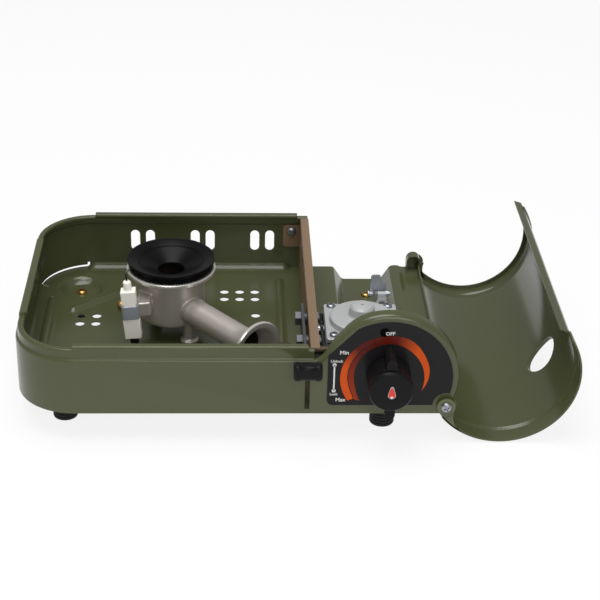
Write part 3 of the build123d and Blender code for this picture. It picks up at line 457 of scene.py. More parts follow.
# Arched front panel
# The front wall rises into an arch round the cartridge. Its edge is drawn over and turned back, and
# the turned edge runs out to nothing at the foot of the left flank.
ARCH = Vector((217.0, 41.9))
ARCH_R = 41.8
HINGE = Vector((251.6, 24.6))
BEND = 3.0


def ray(turn):
    """A unit step at an angle in degrees."""
    return Vector((math.cos(math.radians(turn)), math.sin(math.radians(turn))))


flank = ray(141)
along = Vector((-flank.y, flank.x))
fillet_at = ARCH + flank * 9.02 - along * 7.61
straight = [ARCH + flank * 39.02 + along * (7.61 - 15.22 * k / 6) for k in range(7)]
foot = Vector((WALL_END, 53.9))
flare = [foot.lerp(Vector((178.2, 54.6)), t).lerp(Vector((178.2, 54.6)).lerp(straight[0], t), t)
         for t in [k / 8 for k in range(8)]]
edge_line = (flare + straight + arc(fillet_at, 30.0, 141, 100.8, 10)[1:]
             + arc(ARCH, ARCH_R, 100.8, -18, 72)[1:])
edge_rings = []
bend_turns = [math.radians(11.25 * k) for k in range(9)]
run = 0.0
for n, point in enumerate(edge_line):
    ahead = edge_line[min(n + 1, len(edge_line) - 1)] - edge_line[max(n - 1, 0)]
    if n == 0:
        ahead = Vector((1, 0))
    out = Vector((-ahead.y, ahead.x)).normalized()
    run += (point - edge_line[max(n - 1, 0)]).length
    back = 3.2 + 3.8 * eased(run, 4.0, 20.0)
    outer, inner = [[(point - out * (BEND - r * math.sin(t)), BEND - r * math.cos(t)) for t in bend_turns]
                    for r in (BEND, BEND - SHEET)]
    ring = outer + [(point, back), (point - out * SHEET, back)] + inner[::-1]
    edge_rings.append([(p.x, y, p.y) for p, y in ring])
count = len(edge_rings[0])
panel_points = [p for ring in edge_rings for p in ring]
panel_faces = ring_faces(len(edge_rings), count)
rest_of_edge = arc(HINGE, 6.1, 30, -90, 12) + [Vector((WALL_END, SKIRT_Z))]
front_start = len(panel_points)
panel_points += [(x, 0.0, z) for x, z in rest_of_edge] + [(x, SHEET, z) for x, z in rest_of_edge]
size = len(rest_of_edge)
front_loop = [r * count for r in range(len(edge_rings))] + [front_start + k for k in range(size)]
back_loop = ([r * count + count - 1 for r in range(len(edge_rings))]
             + [front_start + size + k for k in range(size)])
panel_faces += [tuple(front_loop), tuple(back_loop[::-1])]
lower = list(zip(front_loop, back_loop))[len(edge_rings) - 1:] + [(front_loop[0], back_loop[0])]
panel_faces += [(a, b, d, c) for (a, c), (b, d) in zip(lower, lower[1:])]
front_panel = solid("front_panel", panel_points, panel_faces)
KNOB = Vector((217.0, 45.2))
spindle_hole = prism(arc(KNOB, 8.6, 0, 350, 35), (-2, 4), "y")
carved(front_panel, spindle_hole)
painted(front_panel, 30)

# Rear hinge ear
# A hooded ear at the back corner of the bay, folded up from the floor. The lid's rear pivot screws
# into it.
hood_line = [Vector((244.8, 20.4))] + arc((249.5, 27.9), 4.7, 180, 0, 16) + [Vector((254.2, 20.4))]
hood = prism(thickened(hood_line, -SHEET), (DEPTH - 7.0, DEPTH - SHEET), "y")
hood_back = prism(hood_line, (DEPTH - SHEET, DEPTH), "y")
rear_ear = solid("rear_hinge_ear", *merged(hood, hood_back))
painted(rear_ear, bevel=0.25)

# Feet
# Moulded rubber buttons with ribbed sides, under the tray's dished seats and the bay floor. A brass
# pan-head screw with a cross recess holds each one from above.
RUBBER = surface("black_rubber", (20, 20, 21), 0.55, shade=0.25, scale=1400, bump=0.2, specular=0.25)
BRASS = surface("turned_brass", (198, 158, 90), 0.3, metallic=1.0, bump=0.04)
FOOT_R = 7.4
GROOVE_R = 7.05
FEET = {"foot_front_left": (*FEET_LEFT[0], 15.7), "foot_rear_left": (*FEET_LEFT[1], 15.7),
        "foot_front_right": (216.6, 20.4, 20.0), "foot_rear_right": (216.6, 158.0, 10.5)}
UP = Vector((0, 0, 1))
FORWARD = Vector((0, -1, 0))


def across(axis):
    """Two directions square to an axis."""
    side = Vector((1, 0, 0)) if abs(axis.z) > 0.9 else axis.cross(UP).normalized()
    return side, axis.cross(side)


def spun(profile, place, axis=UP, steps=48, closed=False):
    """A (radius, height) outline turned about an axis that starts at place."""
    side, other = across(axis)
    turns = [2 * math.pi * k / steps for k in range(steps)]
    points = [Vector(place) + axis * height + (side * math.cos(t) + other * math.sin(t)) * radius
              for radius, height in profile for t in turns]
    return points, ring_faces(len(profile), steps, closed, profile[0][0] > 0)


def bar(place, axis, turn, reach, half, span):
    """A flat bar that crosses an axis: one stroke of a cross recess."""
    side, other = across(axis)
    run = side * math.cos(math.radians(turn)) + other * math.sin(math.radians(turn))
    wide = axis.cross(run)
    points = [Vector(place) + axis * h + run * (a * reach) + wide * (b * half)
              for h in span for a, b in ((-1, -1), (1, -1), (1, 1), (-1, 1))]
    return points, ring_faces(2, 4)


def screw_heads(name, spots, axis, radius, height, finish, node):
    """Pan heads with a cross recess, each at (place, turn) on the face that it clamps."""
    dome = [(0.0, -0.3), (radius - 0.2, -0.3), (radius, 0.0), (radius, 0.3 * height),
            (0.9 * radius, 0.68 * height), (0.65 * radius, 0.91 * height), (0.3 * radius, height),
            (0.0, height)]
    made = solid(name, *merged(*[spun(dome, place, axis, 32) for place, turn in spots]))
    for quarter in (0, 90):
        carved(made, merged(*[bar(place, axis, turn + quarter, 0.64 * radius, 0.13 * radius,
                                  (0.4 * height, height + 1)) for place, turn in spots]))
    settle(made, *finish, node, crease=40)


for foot_name, (x, y, top) in FEET.items():
    side = [(0.0, 0.7), (4.4, 0.7), (5.1, 0.0), (6.3, 0.0), (7.1, 0.5)]
    ribs = round((top - 2.4) / 1.9)
    rise = (top - 2.4) / ribs
    for n in range(ribs):
        low = 1.0 + rise * n
        side += [(FOOT_R, low + 0.1 * rise), (FOOT_R, low + 0.62 * rise), (GROOVE_R, low + 0.72 * rise),
                 (GROOVE_R, low + rise)]
    side += [(7.2, top - 0.7), (6.8, top), (0.0, top)]
    settle(solid(foot_name + "_button", *spun(side, (x, y, 0))), RUBBER, "rubber", foot_name)
foot_spots = [((x, y, top + SHEET), 20 + 37 * n) for n, (x, y, top) in enumerate(FEET.values())]
screw_heads("foot_screw_heads", foot_spots, UP, 3.2, 2.1, (BRASS, "brass"), "foot_screws")

# Heat shield
# A bent strip painted in heat-proof brown between burner and cartridge. Its top edge folds over the bay,
# and a tab at the back is screwed to the tray wall.
BROWN = surface("brown_paint", (120, 98, 76), 0.42, scale=1800, spread=0.15, rub=1.0, bump=0.08)
SHIELD_X = (172.0, 173.0)
shield_plate = prism(oblong((8.0, 178.0), (21.2, 54.5)), SHIELD_X, "x")
shield_line = bent([(172.0, 53.5), (172.0, 59.7), (177.5, 59.7)], 1.2)
shield_top = prism(thickened(shield_line, -SHEET), (5.4, 176.2), "y")
shield_bridge = prism(oblong((177.0, 180.6), (37.0, 53.0)), SHIELD_X, "x")
shield_tab = prism([(161.0, 38.5), (162.5, 37.0), (172.6, 37.0), (172.6, 53.0), (162.5, 53.0), (161.0, 51.5)],
                   (179.6, 180.6), "y")
heat_shield = solid("shield_strip", *merged(shield_plate, shield_top, shield_bridge, shield_tab))
settle(heat_shield, BROWN, "brown_paint", "heat_shield", crease=40, bevel=0.2)

# Burner casting
# An aluminium cup with its seat, two legs and the spark lug in one casting. The mixing tube is pressed
# into the cup's side and opens towards the jet as a trumpet with a thick turned lip.
CAST = surface("cast_aluminium", (198, 191, 184), 0.42, metallic=0.7, shade=0.22, spread=0.25, rub=0.6,
               bump=0.25)
BURNER = (89.3, 94.0)
TUBE_Z = 43.5
TUBE = ray(-50).to_3d()
LEGS = ((100.5, 80.0), (78.1, 108.0))
LEAN = math.radians(5.1)


def leaned(x, y, z):
    """A point of the spark electrode's own upright frame, which leans to the left."""
    return Vector((67.1 + x * math.cos(LEAN) - z * math.sin(LEAN), 68.0 + y,
                   29.3 + x * math.sin(LEAN) + z * math.cos(LEAN)))


def leaned_block(outline, span):
    """An upright prism of that frame, from its plan outline."""
    points, faces = prism(outline, span, "z")
    return [leaned(*p) for p in points], faces


def cast_together(name, voxel, rounds, *shapes):
    """Closed shapes fused and softened, as a casting leaves its mould."""
    made = solid(name, *merged(*shapes))
    join = made.modifiers.new("join", "REMESH")
    join.mode = "VOXEL"
    join.voxel_size = voxel / 1000
    ease = made.modifiers.new("ease", "SMOOTH")
    ease.iterations = rounds
    ease.factor = 0.5
    made.data = frozen(made)
    made.modifiers.clear()
    return made


cup_side = [(0.0, 33.0), (18.4, 33.0), (20.1, 33.7), (20.8, 35.4), (20.8, 62.0), (22.2, 63.8), (24.5, 64.3),
            (24.5, 66.0), (18.6, 66.0), (18.6, 35.2), (0.0, 35.2)]
leg_side = [(0.0, 21.0), (5.8, 21.0), (5.8, 22.9), (4.2, 23.4), (4.0, 25.0), (4.0, 34.5), (0.0, 34.5)]
casting = cast_together(
    "burner_casting", 0.5, 4, spun(cup_side, (*BURNER, 0), steps=96),
    spun([(0.0, 19.2), (8.3, 19.2), (8.3, 26.0), (0.0, 26.0)], (*BURNER, TUBE_Z), TUBE),
    *[spun(leg_side, (*leg, 0)) for leg in LEGS],
    leaned_block(oblong((4.7, 12.3), (-1.4, 19.0)), (15.8, 25.0)))
settle(casting, CAST, "cast_alloy", "burner_body", crease=60)
seat_ring = [(18.6, 63.9), (26.9, 63.9), (27.4, 64.4), (27.4, 66.0), (26.9, 66.5), (18.6, 66.5)]
tube_side = ([(8.3, 22.4), (8.8, 22.9), (8.8, 24.0), (8.3, 25.0)]
             + bent([(8.25, 25.4), (8.25, 68.5), (10.6, 76.0), (17.0, 81.0)], 8.0, 10)
             + [(17.4, 81.4), (17.4, 82.2), (17.1, 82.5), (14.0, 82.5), (13.4, 82.2)]
             + bent([(13.0, 81.6), (8.0, 74.0), (6.4, 64.0), (6.4, 22.4)], 6.0, 8))
MACHINED = surface("machined_alloy", (228, 224, 218), 0.24, metallic=0.7, shade=0.1, scale=2200,
                   spread=0.15, bump=0.03)
# A dark finish for linings inside the cup and the tube's bore: painted shade for the shade in those hollows.
SHADE_LINING = surface("painted_shade_lining", (40, 33, 29), 0.6, shade=0.5, scale=500, bump=0.15, specular=0.2)


def lathed(name, profile, axis, steps, material, slot="cast_alloy", node="burner_body", closed=True,
           crease=30):
    """A piece turned about the cup's upright axis or the mixing tube's."""
    place = (*BURNER, TUBE_Z if axis is TUBE else 0)
    made = solid(name, *spun(profile, place, axis, steps, closed))
    settle(made, material, slot, node, crease=crease)


lathed("burner_seat", seat_ring, UP, 120, MACHINED)
lathed("mixing_tube", tube_side, TUBE, 80, CAST)
lip_side = [(13.9, 82.45), (14.6, 82.75), (16.9, 82.75), (17.5, 82.2), (17.5, 81.2), (17.2, 80.9),
            (16.4, 81.6)]
lathed("tube_lip", lip_side, TUBE, 96, MACHINED)
cup_lining = [(0.0, 35.2), (18.5, 35.2), (18.5, 63.8), (18.2, 63.8), (18.2, 35.5), (0.0, 35.5)]
bore_line = bent([(7.9, 73.6), (6.35, 64.0), (6.35, 22.6)], 6.0, 8)
bore_lining = bore_line + [(r - 0.2, h) for r, h in bore_line[::-1]]
# The cup and the bore get thin dark linings of painted shade.
lathed("cup_shade_lining", cup_lining, UP, 64, SHADE_LINING, closed=False, crease=35)
lathed("bore_shade_lining", bore_lining, TUBE, 64, SHADE_LINING, crease=35)

# Burner cap
# A heat-blackened dish over the cup: a sloping rim, a deeper cone to the throat and a finely toothed
# ring of flame ports below the rim.
CAP_BLACK = surface("cap_black", (13, 12, 13), 0.34, shade=0.3, scale=1300, rub=0.8, specular=0.1)
TEETH = 84
PORT_TOP, PORT_ROOT, PORT_BACK = 26.0, 25.35, 24.0
cap_side = [(8.0, 62.6), (18.2, 66.5), (24.6, 66.5), (24.6, 70.1), (26.4, 70.3), (26.9, 70.8), (27.0, 71.3),
            (27.0, 72.0), (26.8, 72.4), (26.3, 72.5), (20.6, 70.75), (20.2, 70.5), (19.7, 69.8), (19.3, 69.5),
            (8.7, 65.2), (8.1, 64.7), (8.0, 64.2)]
lathed("cap_dish", cap_side, UP, 120, CAP_BLACK, "cap_iron", "burner_cap", crease=20)
port_points = []
for toothed, z in ((True, 66.5), (True, 70.4), (False, 70.4), (False, 66.5)):
    for k in range(4 * TEETH):
        t = math.pi * k / (2 * TEETH)
        r = (PORT_TOP if k % 4 < 2 else PORT_ROOT) if toothed else PORT_BACK
        port_points.append((BURNER[0] + r * math.cos(t), BURNER[1] + r * math.sin(t), z))
settle(solid("flame_ports", port_points, ring_faces(4, 4 * TEETH, True)), CAP_BLACK, "cap_iron",
       "burner_cap", crease=30)

# Spark electrode
# A white ceramic body with a waist, held to the casting's lug by a steel strap and one brass screw. Its
# bent wire ends beside the flame ports, and the lead enters below through a black boot.
CERAMIC = surface("white_ceramic", (250, 246, 236), 0.38, shade=0.12, scale=700, spread=0.15, bump=0.08)
ZINC = surface("zinc_plate", (160, 163, 170), 0.32, metallic=0.9, scale=1800, spread=0.25, bump=0.05)
WIRE = surface("electrode_wire", (92, 88, 86), 0.4, metallic=1.0, shade=0.3, scale=2000, bump=0.05)
blocks = [leaned_block(oblong((-w / 2, w / 2), (-d / 2, d / 2)), (low, high))
          for w, d, low, high in ((10.2, 7.8, 2.0, 15.2), (7.8, 7.0, 15.0, 25.3), (9.2, 7.4, 25.2, 34.3))]
ceramic_axis = (leaned(0, 0, 1) - leaned(0, 0, 0)).normalized()
ceramic_tip = spun([(0.0, 33.8), (2.5, 33.8), (2.5, 39.2), (2.2, 40.0), (1.4, 40.5), (0.0, 40.5)],
                   leaned(0, 0, 0), ceramic_axis, 32)
settle(solid("ceramic_body", *merged(*blocks, ceramic_tip)), CERAMIC, "ceramic",
       "igniter_insulator", crease=40, bevel=0.55)
strap_line = bent([(-4.3, 9.6), (-4.3, -3.9), (4.3, -3.9), (4.3, 9.6)], 1.1)
STRAP = surface("blued_strap", (172, 178, 190), 0.36, metallic=0.45, shade=0.12, scale=900, spread=0.15,
                bump=0.04)
settle(solid("strap", *leaned_block(thickened(strap_line, -0.8), (15.8, 24.6))), STRAP, "zinc_steel",
       "igniter_clip", crease=40, bevel=0.15)
left_way = (leaned(-1, 0, 0) - leaned(0, 0, 0)).normalized()
screw_heads("strap_screw_head", [(leaned(-4.9, 6.4, 20.0), 15)], left_way, 3.9, 3.5, (BRASS, "brass"),
            "clip_screw")

# Nodes of the frame that keep their shape
# Bolts, pins, springs, the jet and its bracket, the lever's arm, the regulator's block and what it hides
# are turned, bent or cast as drawn, so they only get their finishes and softened edges here.
BLACK_PLASTIC = surface("black_plastic", (19, 19, 20), 0.3, scale=1200, spread=0.15, rub=0.5, specular=0.12)
BLACK_PLATE = surface("black_plate", (27, 25, 27), 0.2, shade=0.15, scale=3000, spread=0.08, bump=0.02,
                      specular=0.16)
GREY_CAST = surface("grey_casting", (182, 184, 184), 0.45, metallic=0.25, shade=0.15, scale=1300, rub=0.5,
                    bump=0.2)
DULL_STEEL = surface("passivated_steel", (84, 85, 88), 0.45, metallic=0.6, shade=0.25, bump=0.06)
# Brass darkened as painted shade, for the gas jet where it lies in shade in the notch.
SHADED_BRASS = surface("brass_painted_shade", (74, 64, 50), 0.5, metallic=0.8, shade=0.3, bump=0.08)


def dressed(material, bevel, *nodes):
    """Gives nodes of the frame a finish and, where it helps, softened edges."""
    for node in nodes:
        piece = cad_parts[node]
        piece.data.materials.clear()
        piece.data.materials.append(material)
        if bevel:
            soften(piece, bevel, 2, 50)


def painted_shade_below(material, low, high, left):
    """A copy of a finish with painted shade: below the upper of two heights in metres it darkens, down to a
    share of its tone at the lower.
    """
    made = material.copy()
    tree = made.node_tree
    place = tree.nodes.new("ShaderNodeSeparateXYZ")
    fade = tree.nodes.new("ShaderNodeMapRange")
    darker = tree.nodes.new("ShaderNodeHueSaturation")
    color = tree.nodes["Principled BSDF"].inputs["Base Color"]
    for label, value in (("From Min", low), ("From Max", high), ("To Min", left), ("To Max", 1.0)):
        fade.inputs[label].default_value = value
    wired(tree, (tree.nodes.new("ShaderNodeNewGeometry").outputs["Position"], place.inputs[0]),
          (place.outputs["Z"], fade.inputs["Value"]), (fade.outputs["Result"], darker.inputs["Value"]),
          (color.links[0].from_socket, darker.inputs["Color"]), (darker.outputs["Color"], color))
    return made


dressed(ZINC, 0.2, "collar_pawl")
dressed(DULL_STEEL, 0.2, "jet_bracket", "bracket_bolts")
dressed(ZINC, 0, "pawl_pin", "pawl_spring", "lever_pivot_pin", "valve_spindle", "regulator_spring",
        "burner_screws")
dressed(RUBBER, 0, "regulator_diaphragm", "inlet_seal")
# The jet gets the darkened brass: painted shade.
dressed(SHADED_BRASS, 0.2, "gas_jet")
dressed(BLACK_PLATE, 0, "lever_arm")
dressed(BLACK_PLASTIC, 0.5, "piezo_igniter")
# The regulator casting's lower part is darkened to a tenth of its tone: painted shade where it shows through
# the notch.
dressed(painted_shade_below(GREY_CAST, 0.030, 0.036, 0.1), 0.4, "regulator_body")
dressed(WIRE, 0, "igniter_electrode")

# Regulator cover
# A die-cast cover over the diaphragm, with a stepped round housing and a vented dome for the spring.
# Four cross-head screws hold its corners.
cover_at = (205.2, 55.0, 0.0)
corner_at = ((185.0, 34.5, 180), (225.5, 34.5, 270), (225.5, 74.5, 0), (185.0, 74.5, 90))
cover_line = [p for x, y, start in corner_at for p in arc((x, y), 2.0, start, start + 90, 6)]
cover_plate = solid("regulator_cover_plate", *prism(cover_line, (46.6, 49.5), "z"))
settle(cover_plate, GREY_CAST, "cast_alloy", "regulator_cover", crease=40, bevel=0.5)
housing_side = [(0.0, 48.5), (19.5, 48.5), (19.5, 52.0), (19.2, 53.0), (18.2, 53.5), (9.8, 53.7), (8.5, 54.2),
                (7.9, 55.2), (7.8, 57.2), (7.2, 59.2), (6.0, 60.4), (4.2, 60.9), (1.0, 61.0), (0.8, 60.7),
                (0.8, 59.5), (0.0, 59.5)]
settle(solid("regulator_dome", *spun(housing_side, cover_at, steps=80)), GREY_CAST, "cast_alloy",
       "regulator_cover", crease=25)
cover_spots = [((x, y, 49.5), 12 + 51 * n) for n, (x, y) in
               enumerate([(x, y) for x in (187.6, 222.5) for y in (37.4, 73.2)])]
PLATED = (ZINC, "zinc_steel")
screw_heads("cover_screw_heads", cover_spots, UP, 2.8, 1.8, PLATED, "regulator_cover_screws")
screw_heads("shield_screw_head", [((166.4, 179.6, 48.5), 30)], FORWARD, 3.2, 2.0, PLATED,
            "heat_shield_screw")

# Lock lever's finger piece
# A moulded bar that stands out of the slot in the front wall, with a raised collar at each end.
grip_y, grip_z = -9.5, 52.55
GRIP_STATIONS = ((162.0, 1.5), (162.5, 0.5), (163.3, 0.0), (165.5, 0.0), (166.1, 0.5), (174.3, 0.5),
                 (174.9, 0.0), (177.1, 0.0), (177.9, 0.5), (178.4, 1.5))
GRIP_STEPS = 40
grip_side = []
for x, shrink in GRIP_STATIONS:
    for k in range(GRIP_STEPS):
        t = 2 * math.pi * k / GRIP_STEPS
        c, s = math.cos(t), math.sin(t)
        grip_side.append((x, grip_y + (4.3 - shrink) * math.copysign(abs(c) ** 0.6, c),
                          grip_z + (5.2 - shrink) * math.copysign(abs(s) ** 0.6, s)))
grip = solid("lever_grip", grip_side, ring_faces(len(GRIP_STATIONS), GRIP_STEPS))
settle(grip, BLACK_PLASTIC, "black_plastic", "lever_knob", "lever_body", crease=50)

# Ignition lead
# Thin insulated wire from the igniter box, under the burner to the foot of the ceramic, where a black
# rubber boot closes over it.
LEAD_ROUTE = ((67.1, 68.0, 29.3), (67.71, 68.0, 22.45), (76.1, 52.0, 22.45), (236.0, 52.0, 22.45),
              (236.0, 52.0, 38.0), (236.0, 45.0, 38.0))
lead_curve = bpy.data.curves.new("ignition_wire", "CURVE")
lead_curve.dimensions = "3D"
lead_curve.bevel_depth = 0.0014
lead_curve.bevel_resolution = 6
lead_curve.resolution_u = 24
run_of_lead = lead_curve.splines.new("NURBS")
run_of_lead.points.add(len(LEAD_ROUTE) - 1)
for point, place in zip(run_of_lead.points, LEAD_ROUTE):
    point.co = (*placed(*place), 1.0)
run_of_lead.order_u = 3
run_of_lead.use_endpoint_u = True
lead_curve.use_fill_caps = True
lead_curve.materials.append(RUBBER)
lead = shown("ignition_wire", lead_curve)
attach(lead, "stove_body")
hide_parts("ignition_lead")
boot_side = [(0.0, -2.3), (2.7, -2.3), (2.7, 2.2), (2.4, 2.6), (2.2, 5.0), (1.7, 5.6), (0.0, 5.6)]
boot = solid("lead_boot", *spun(boot_side, leaned(0, 0, 0), -ceramic_axis, 32))
settle(boot, RUBBER, "rubber")

# Dial plate
# A thin black printed plate that follows the arch and clears the hinge, with the knob's scale on it.
plate_line = (arc((185.5, 28.0), 3.5, 180, 270, 8) + arc(HINGE, 8.0, 180.7, 77.1, 20)
              + arc(ARCH, 37.6, -14.6, 119.0, 64) + [Vector((182.4, 57.9)), Vector((182.0, 56.8))])
dial_plate = solid("dial_plate", *prism(plate_line, (-0.5, 0.0), "y"))
carved(dial_plate, spindle_hole)
settle(dial_plate, BLACK_PLATE, "black_plate", "fascia_plate", crease=40, bevel=0.12)

# Dial print
# Coloured ink on the plate: a tapering band from the lowest to the highest flame, split by a thin dark
# line, with small pale words and the lever's two marks.
INK_FRONT = -0.56
BAND_OUTER = ((-29, 22.4), (0, 23.7), (30, 24.0), (65, 25.7), (105, 25.5), (150, 26.5), (182, 27.8),
              (217.4, 28.96))
BAND_INNER = ((-29, 22.4), (0, 20.8), (40, 19.7), (90, 20.4), (130, 19.8), (180, 19.9), (205, 20.9),
              (227.6, 23.85))
BAND_SPLIT = ((112, 22.4), (130, 22.5), (147, 22.8), (180, 23.5), (211, 24.4), (222, 26.0))


def through(stations, value):
    """A smooth curve through (place, value) stations."""
    n = max(k for k in range(len(stations) - 1) if k == 0 or stations[k][0] <= value)
    (a, p), (b, q) = stations[n], stations[n + 1]
    before, after = stations[max(n - 1, 0)], stations[min(n + 2, len(stations) - 1)]
    t = (value - a) / (b - a)
    lead_in = (q - before[1]) / (b - before[0]) * (b - a)
    lead_out = (after[1] - p) / (after[0] - a) * (b - a)
    return (p * (1 + 2 * t) * (1 - t) ** 2 + lead_in * t * (1 - t) ** 2 + q * t * t * (3 - 2 * t)
            + lead_out * t * t * (t - 1))


def dial_edge(stations, start, end, shift=0.0):
    """Points of the dial along one edge of the band."""
    turns = [start + (end - start) * k / 60 for k in range(61)]
    return [KNOB + ray(t) * (through(stations, t) + shift) for t in turns]


def printed(name, outline, material):
    """A patch of ink that stands a hair proud of the plate."""
    settle(solid(name, *prism(outline, (INK_FRONT, -0.49), "y")), material, "black_plate")


ORANGE, EMBER, RUST = paint_card(200, 76, 7), paint_card(84, 20, 9), paint_card(124, 38, 9)


def flame_ink(name, stops):
    """Ink whose colour runs round the dial: stops are (share of the turn from the left, colour)."""
    material = bpy.data.materials.new(name)
    material.use_nodes = True
    tree = material.node_tree
    parted = tree.nodes.new("ShaderNodeSeparateXYZ")
    tree.links.new(tree.nodes.new("ShaderNodeTexCoord").outputs["Object"], parted.inputs[0])
    axis = placed(KNOB.x, 0, KNOB.y)
    turn = maths(tree, "ARCTAN2", maths(tree, "SUBTRACT", parted.outputs["Z"], axis.z),
                 maths(tree, "SUBTRACT", parted.outputs["X"], axis.x))
    ramp = tree.nodes.new("ShaderNodeValToRGB")
    tree.links.new(maths(tree, "MULTIPLY_ADD", turn, 0.5 / math.pi, 0.5), ramp.inputs["Fac"])
    ramp.color_ramp.elements[0].color = stops[-1][1]
    ramp.color_ramp.elements[-1].color = stops[-1][1]
    for at, color in stops:
        ramp.color_ramp.elements.new(at).color = color
    shader = tree.nodes["Principled BSDF"]
    tree.links.new(ramp.outputs["Color"], shader.inputs["Base Color"])
    shader.inputs["Roughness"].default_value = 0.25
    shader.inputs["Specular IOR Level"].default_value = 0.16
    return material


BRIGHT_INK = flame_ink("flame_ink", ((0.62, ORANGE), (0.72, EMBER), (0.88, EMBER), (0.97, ORANGE)))
DEEP_INK = flame_ink("flame_ink_deep", ((0.62, ORANGE), (0.72, EMBER), (0.9, EMBER), (0.99, RUST)))
WHITE_INK = surface("pale_ink", (214, 214, 210), 0.4, shade=0.1, scale=2500, spread=0.1, bump=0.02)
OFF_BLACK = surface("deep_black_ink", (6, 6, 6), 0.3, shade=0.1, scale=2500, spread=0.1, bump=0.02,
                    specular=0.03)

whole = dial_edge(BAND_OUTER, -29, 112) + dial_edge(BAND_INNER, 112, -29)
outer_half = dial_edge(BAND_OUTER, 111.5, 217.4) + dial_edge(BAND_SPLIT, 219, 111.5, 0.25)
inner_half = dial_edge(BAND_SPLIT, 111.5, 221, -0.25) + dial_edge(BAND_INNER, 227.6, 111.5)
bands = ((whole, BRIGHT_INK), (outer_half, BRIGHT_INK), (inner_half, DEEP_INK))
for n, (outline, ink) in enumerate(bands):
    printed(f"flame_band_{n}", outline, ink)
printed("off_patch", arc((213.7, 73.1), 2.8, 0, 345, 23), OFF_BLACK)
for n, z in enumerate((51.6, 34.4)):
    printed(f"lever_mark_{n}", arc((185.75, z), 1.2, 0, 345, 23), WHITE_INK)
printed("lever_mark_line", oblong((185.3, 186.2), (34.4, 51.6)), WHITE_INK)
for word, x, z, width in (("OFF", 216.9, 72.2, 5.3), ("Min", 191.1, 59.8, 5.0), ("Unlock", 187.0, 54.1, 7.0),
                          ("Lock", 185.7, 32.0, 4.5), ("Max", 189.8, 28.2, 5.8)):
    letters = bpy.data.curves.new(word, "FONT")
    letters.body = word
    letters.offset = 0.018
    letters.align_x = letters.align_y = "CENTER"
    shape = shown(word, letters)
    bpy.context.view_layer.update()
    scale = width / 1000 / shape.dimensions.x
    letters.extrude = 0.00003 / scale
    mesh = frozen(shape)
    mesh.transform(Matrix.Translation(placed(x, -0.6, z)) @ Matrix.Rotation(math.radians(90), 4, "X")
                   @ Matrix.Scale(scale, 4))
    bpy.data.objects.remove(shape)
    settle(shown("word_" + word, mesh), WHITE_INK, "black_plate")

# Control knob
# A moulded round knob with a groove behind its face and a grip wing above and below. A red drop in a
# grey border is let into the face.
knob_back = (KNOB.x, -1.2, KNOB.y)
knob_side = [(0.0, 0.0), (12.4, 0.0), (12.8, 0.4), (12.8, 13.6), (12.5, 13.9), (12.2, 14.0), (12.2, 14.6),
             (12.5, 14.8), (12.8, 15.1), (12.8, 17.6), (12.5, 18.5), (11.9, 19.1), (11.2, 19.3), (0.0, 19.3)]
knob = solid("knob_grip", *spun(knob_side, knob_back, FORWARD, 96))
wings = prism(stadium(KNOB, 6.0, 39.0, 12), (-18.0, knob_back[1]), "y")
carved(knob, wings, operation="UNION")


def drop(size):
    """A drop whose bulb hangs below the knob's axis."""
    bulb = KNOB + Vector((0.4, -2.0))
    return arc(bulb, 2.4 * size, 165, 375, 32) + arc(bulb + Vector((0, 4.9 * size)), 1.1 * size, 15, 165, 10)


carved(knob, prism(drop(1.0), (-21.5, -20.0), "y"))
settle(knob, BLACK_PLASTIC, "black_plastic", "control_knob", "knob_body", crease=38, bevel=0.3)
GREY_INK = surface("grey_ink", (168, 166, 164), 0.4, shade=0.1, scale=2500, spread=0.1, bump=0.02)
RED = surface("red_insert", (214, 46, 28), 0.25, shade=0.1, spread=0.1, bump=0.03)
for n, (size, front, material) in enumerate(((0.98, -20.25, GREY_INK), (0.82, -20.35, RED))):
    settle(solid(f"pointer_layer_{n}", *prism(drop(size), (front, -19.9), "y")), material, "red_plastic",
           "knob_pointer", "knob_body", bevel=0.05)
# A small white dot low in the red drop is a painted highlight.
glint = arc(KNOB + Vector((0.4, -3.1)), 0.75, 0, 345, 23)
settle(solid("pointer_glint", *prism(glint, (-20.42, -20.2), "y")), WHITE_INK, "red_plastic", "knob_pointer",
       "knob_body")

# Cartridge lid
# A half-round steel cover swung open about its hinge. Its front band is joggled outward to pass over
# the arch, the back edge is flanged with a bead beside it, and the free edge is folded in.
LID_PART = ("lid", "lid_body")
LID = Vector((284.25, 45.34))
LID_R = 43.3
HINGE_EDGE, FREE_EDGE = -141.5, 32.5
OPEN = 121.0
EAR_TURN = -19.5
HOLE_AT = Vector((LID.x, 62.4, LID.y))
HOLE_R = 12.5
HOLE_TURN = 86.5
lid_section = bent([(-3.0, 44.6), (8.0, 44.6), (9.6, LID_R), (171.0, LID_R), (172.8, 44.5), (176.2, 44.5),
                    (178.0, LID_R), (183.5, LID_R), (183.5, 39.8)], 0.8)
lid_loop = thickened(lid_section, -SHEET)
lid_turns = [math.radians(HINGE_EDGE + (FREE_EDGE - HINGE_EDGE) * k / 120) for k in range(121)]
lid_points = [(LID.x + r * math.cos(t), y, LID.y + r * math.sin(t)) for t in lid_turns for y, r in lid_loop]
lid_cover = solid("lid_cover", lid_points, ring_faces(len(lid_turns), len(lid_loop)))
finger = Matrix.Rotation(math.radians(OPEN - HOLE_TURN), 3, "Y")
hole_points = [HOLE_AT + finger @ Vector((reach, *spot)) for reach in (34.0, 50.0)
               for spot in arc((0, 0), HOLE_R, 0, 352.5, 47)]
carved(lid_cover, (hole_points, ring_faces(2, 48)))
painted(lid_cover, of=LID_PART)
rim_points = []
for k in range(72):
    t = math.radians(5 * k)
    for wide, sink in ((12.4, 1.0), (12.4, -1.6), (13.4, -1.6), (13.4, -0.2), (14.2, -0.05), (14.2, 1.0)):
        across_lid = wide * math.sin(t)
        reach = math.sqrt(LID_R ** 2 - across_lid ** 2) - sink
        rim_points.append(HOLE_AT + finger @ Vector((reach, wide * math.cos(t), across_lid)))
hole_rim = solid("finger_hole_rim", rim_points, ring_faces(72, 6, True))
painted(hole_rim, 30, of=LID_PART)

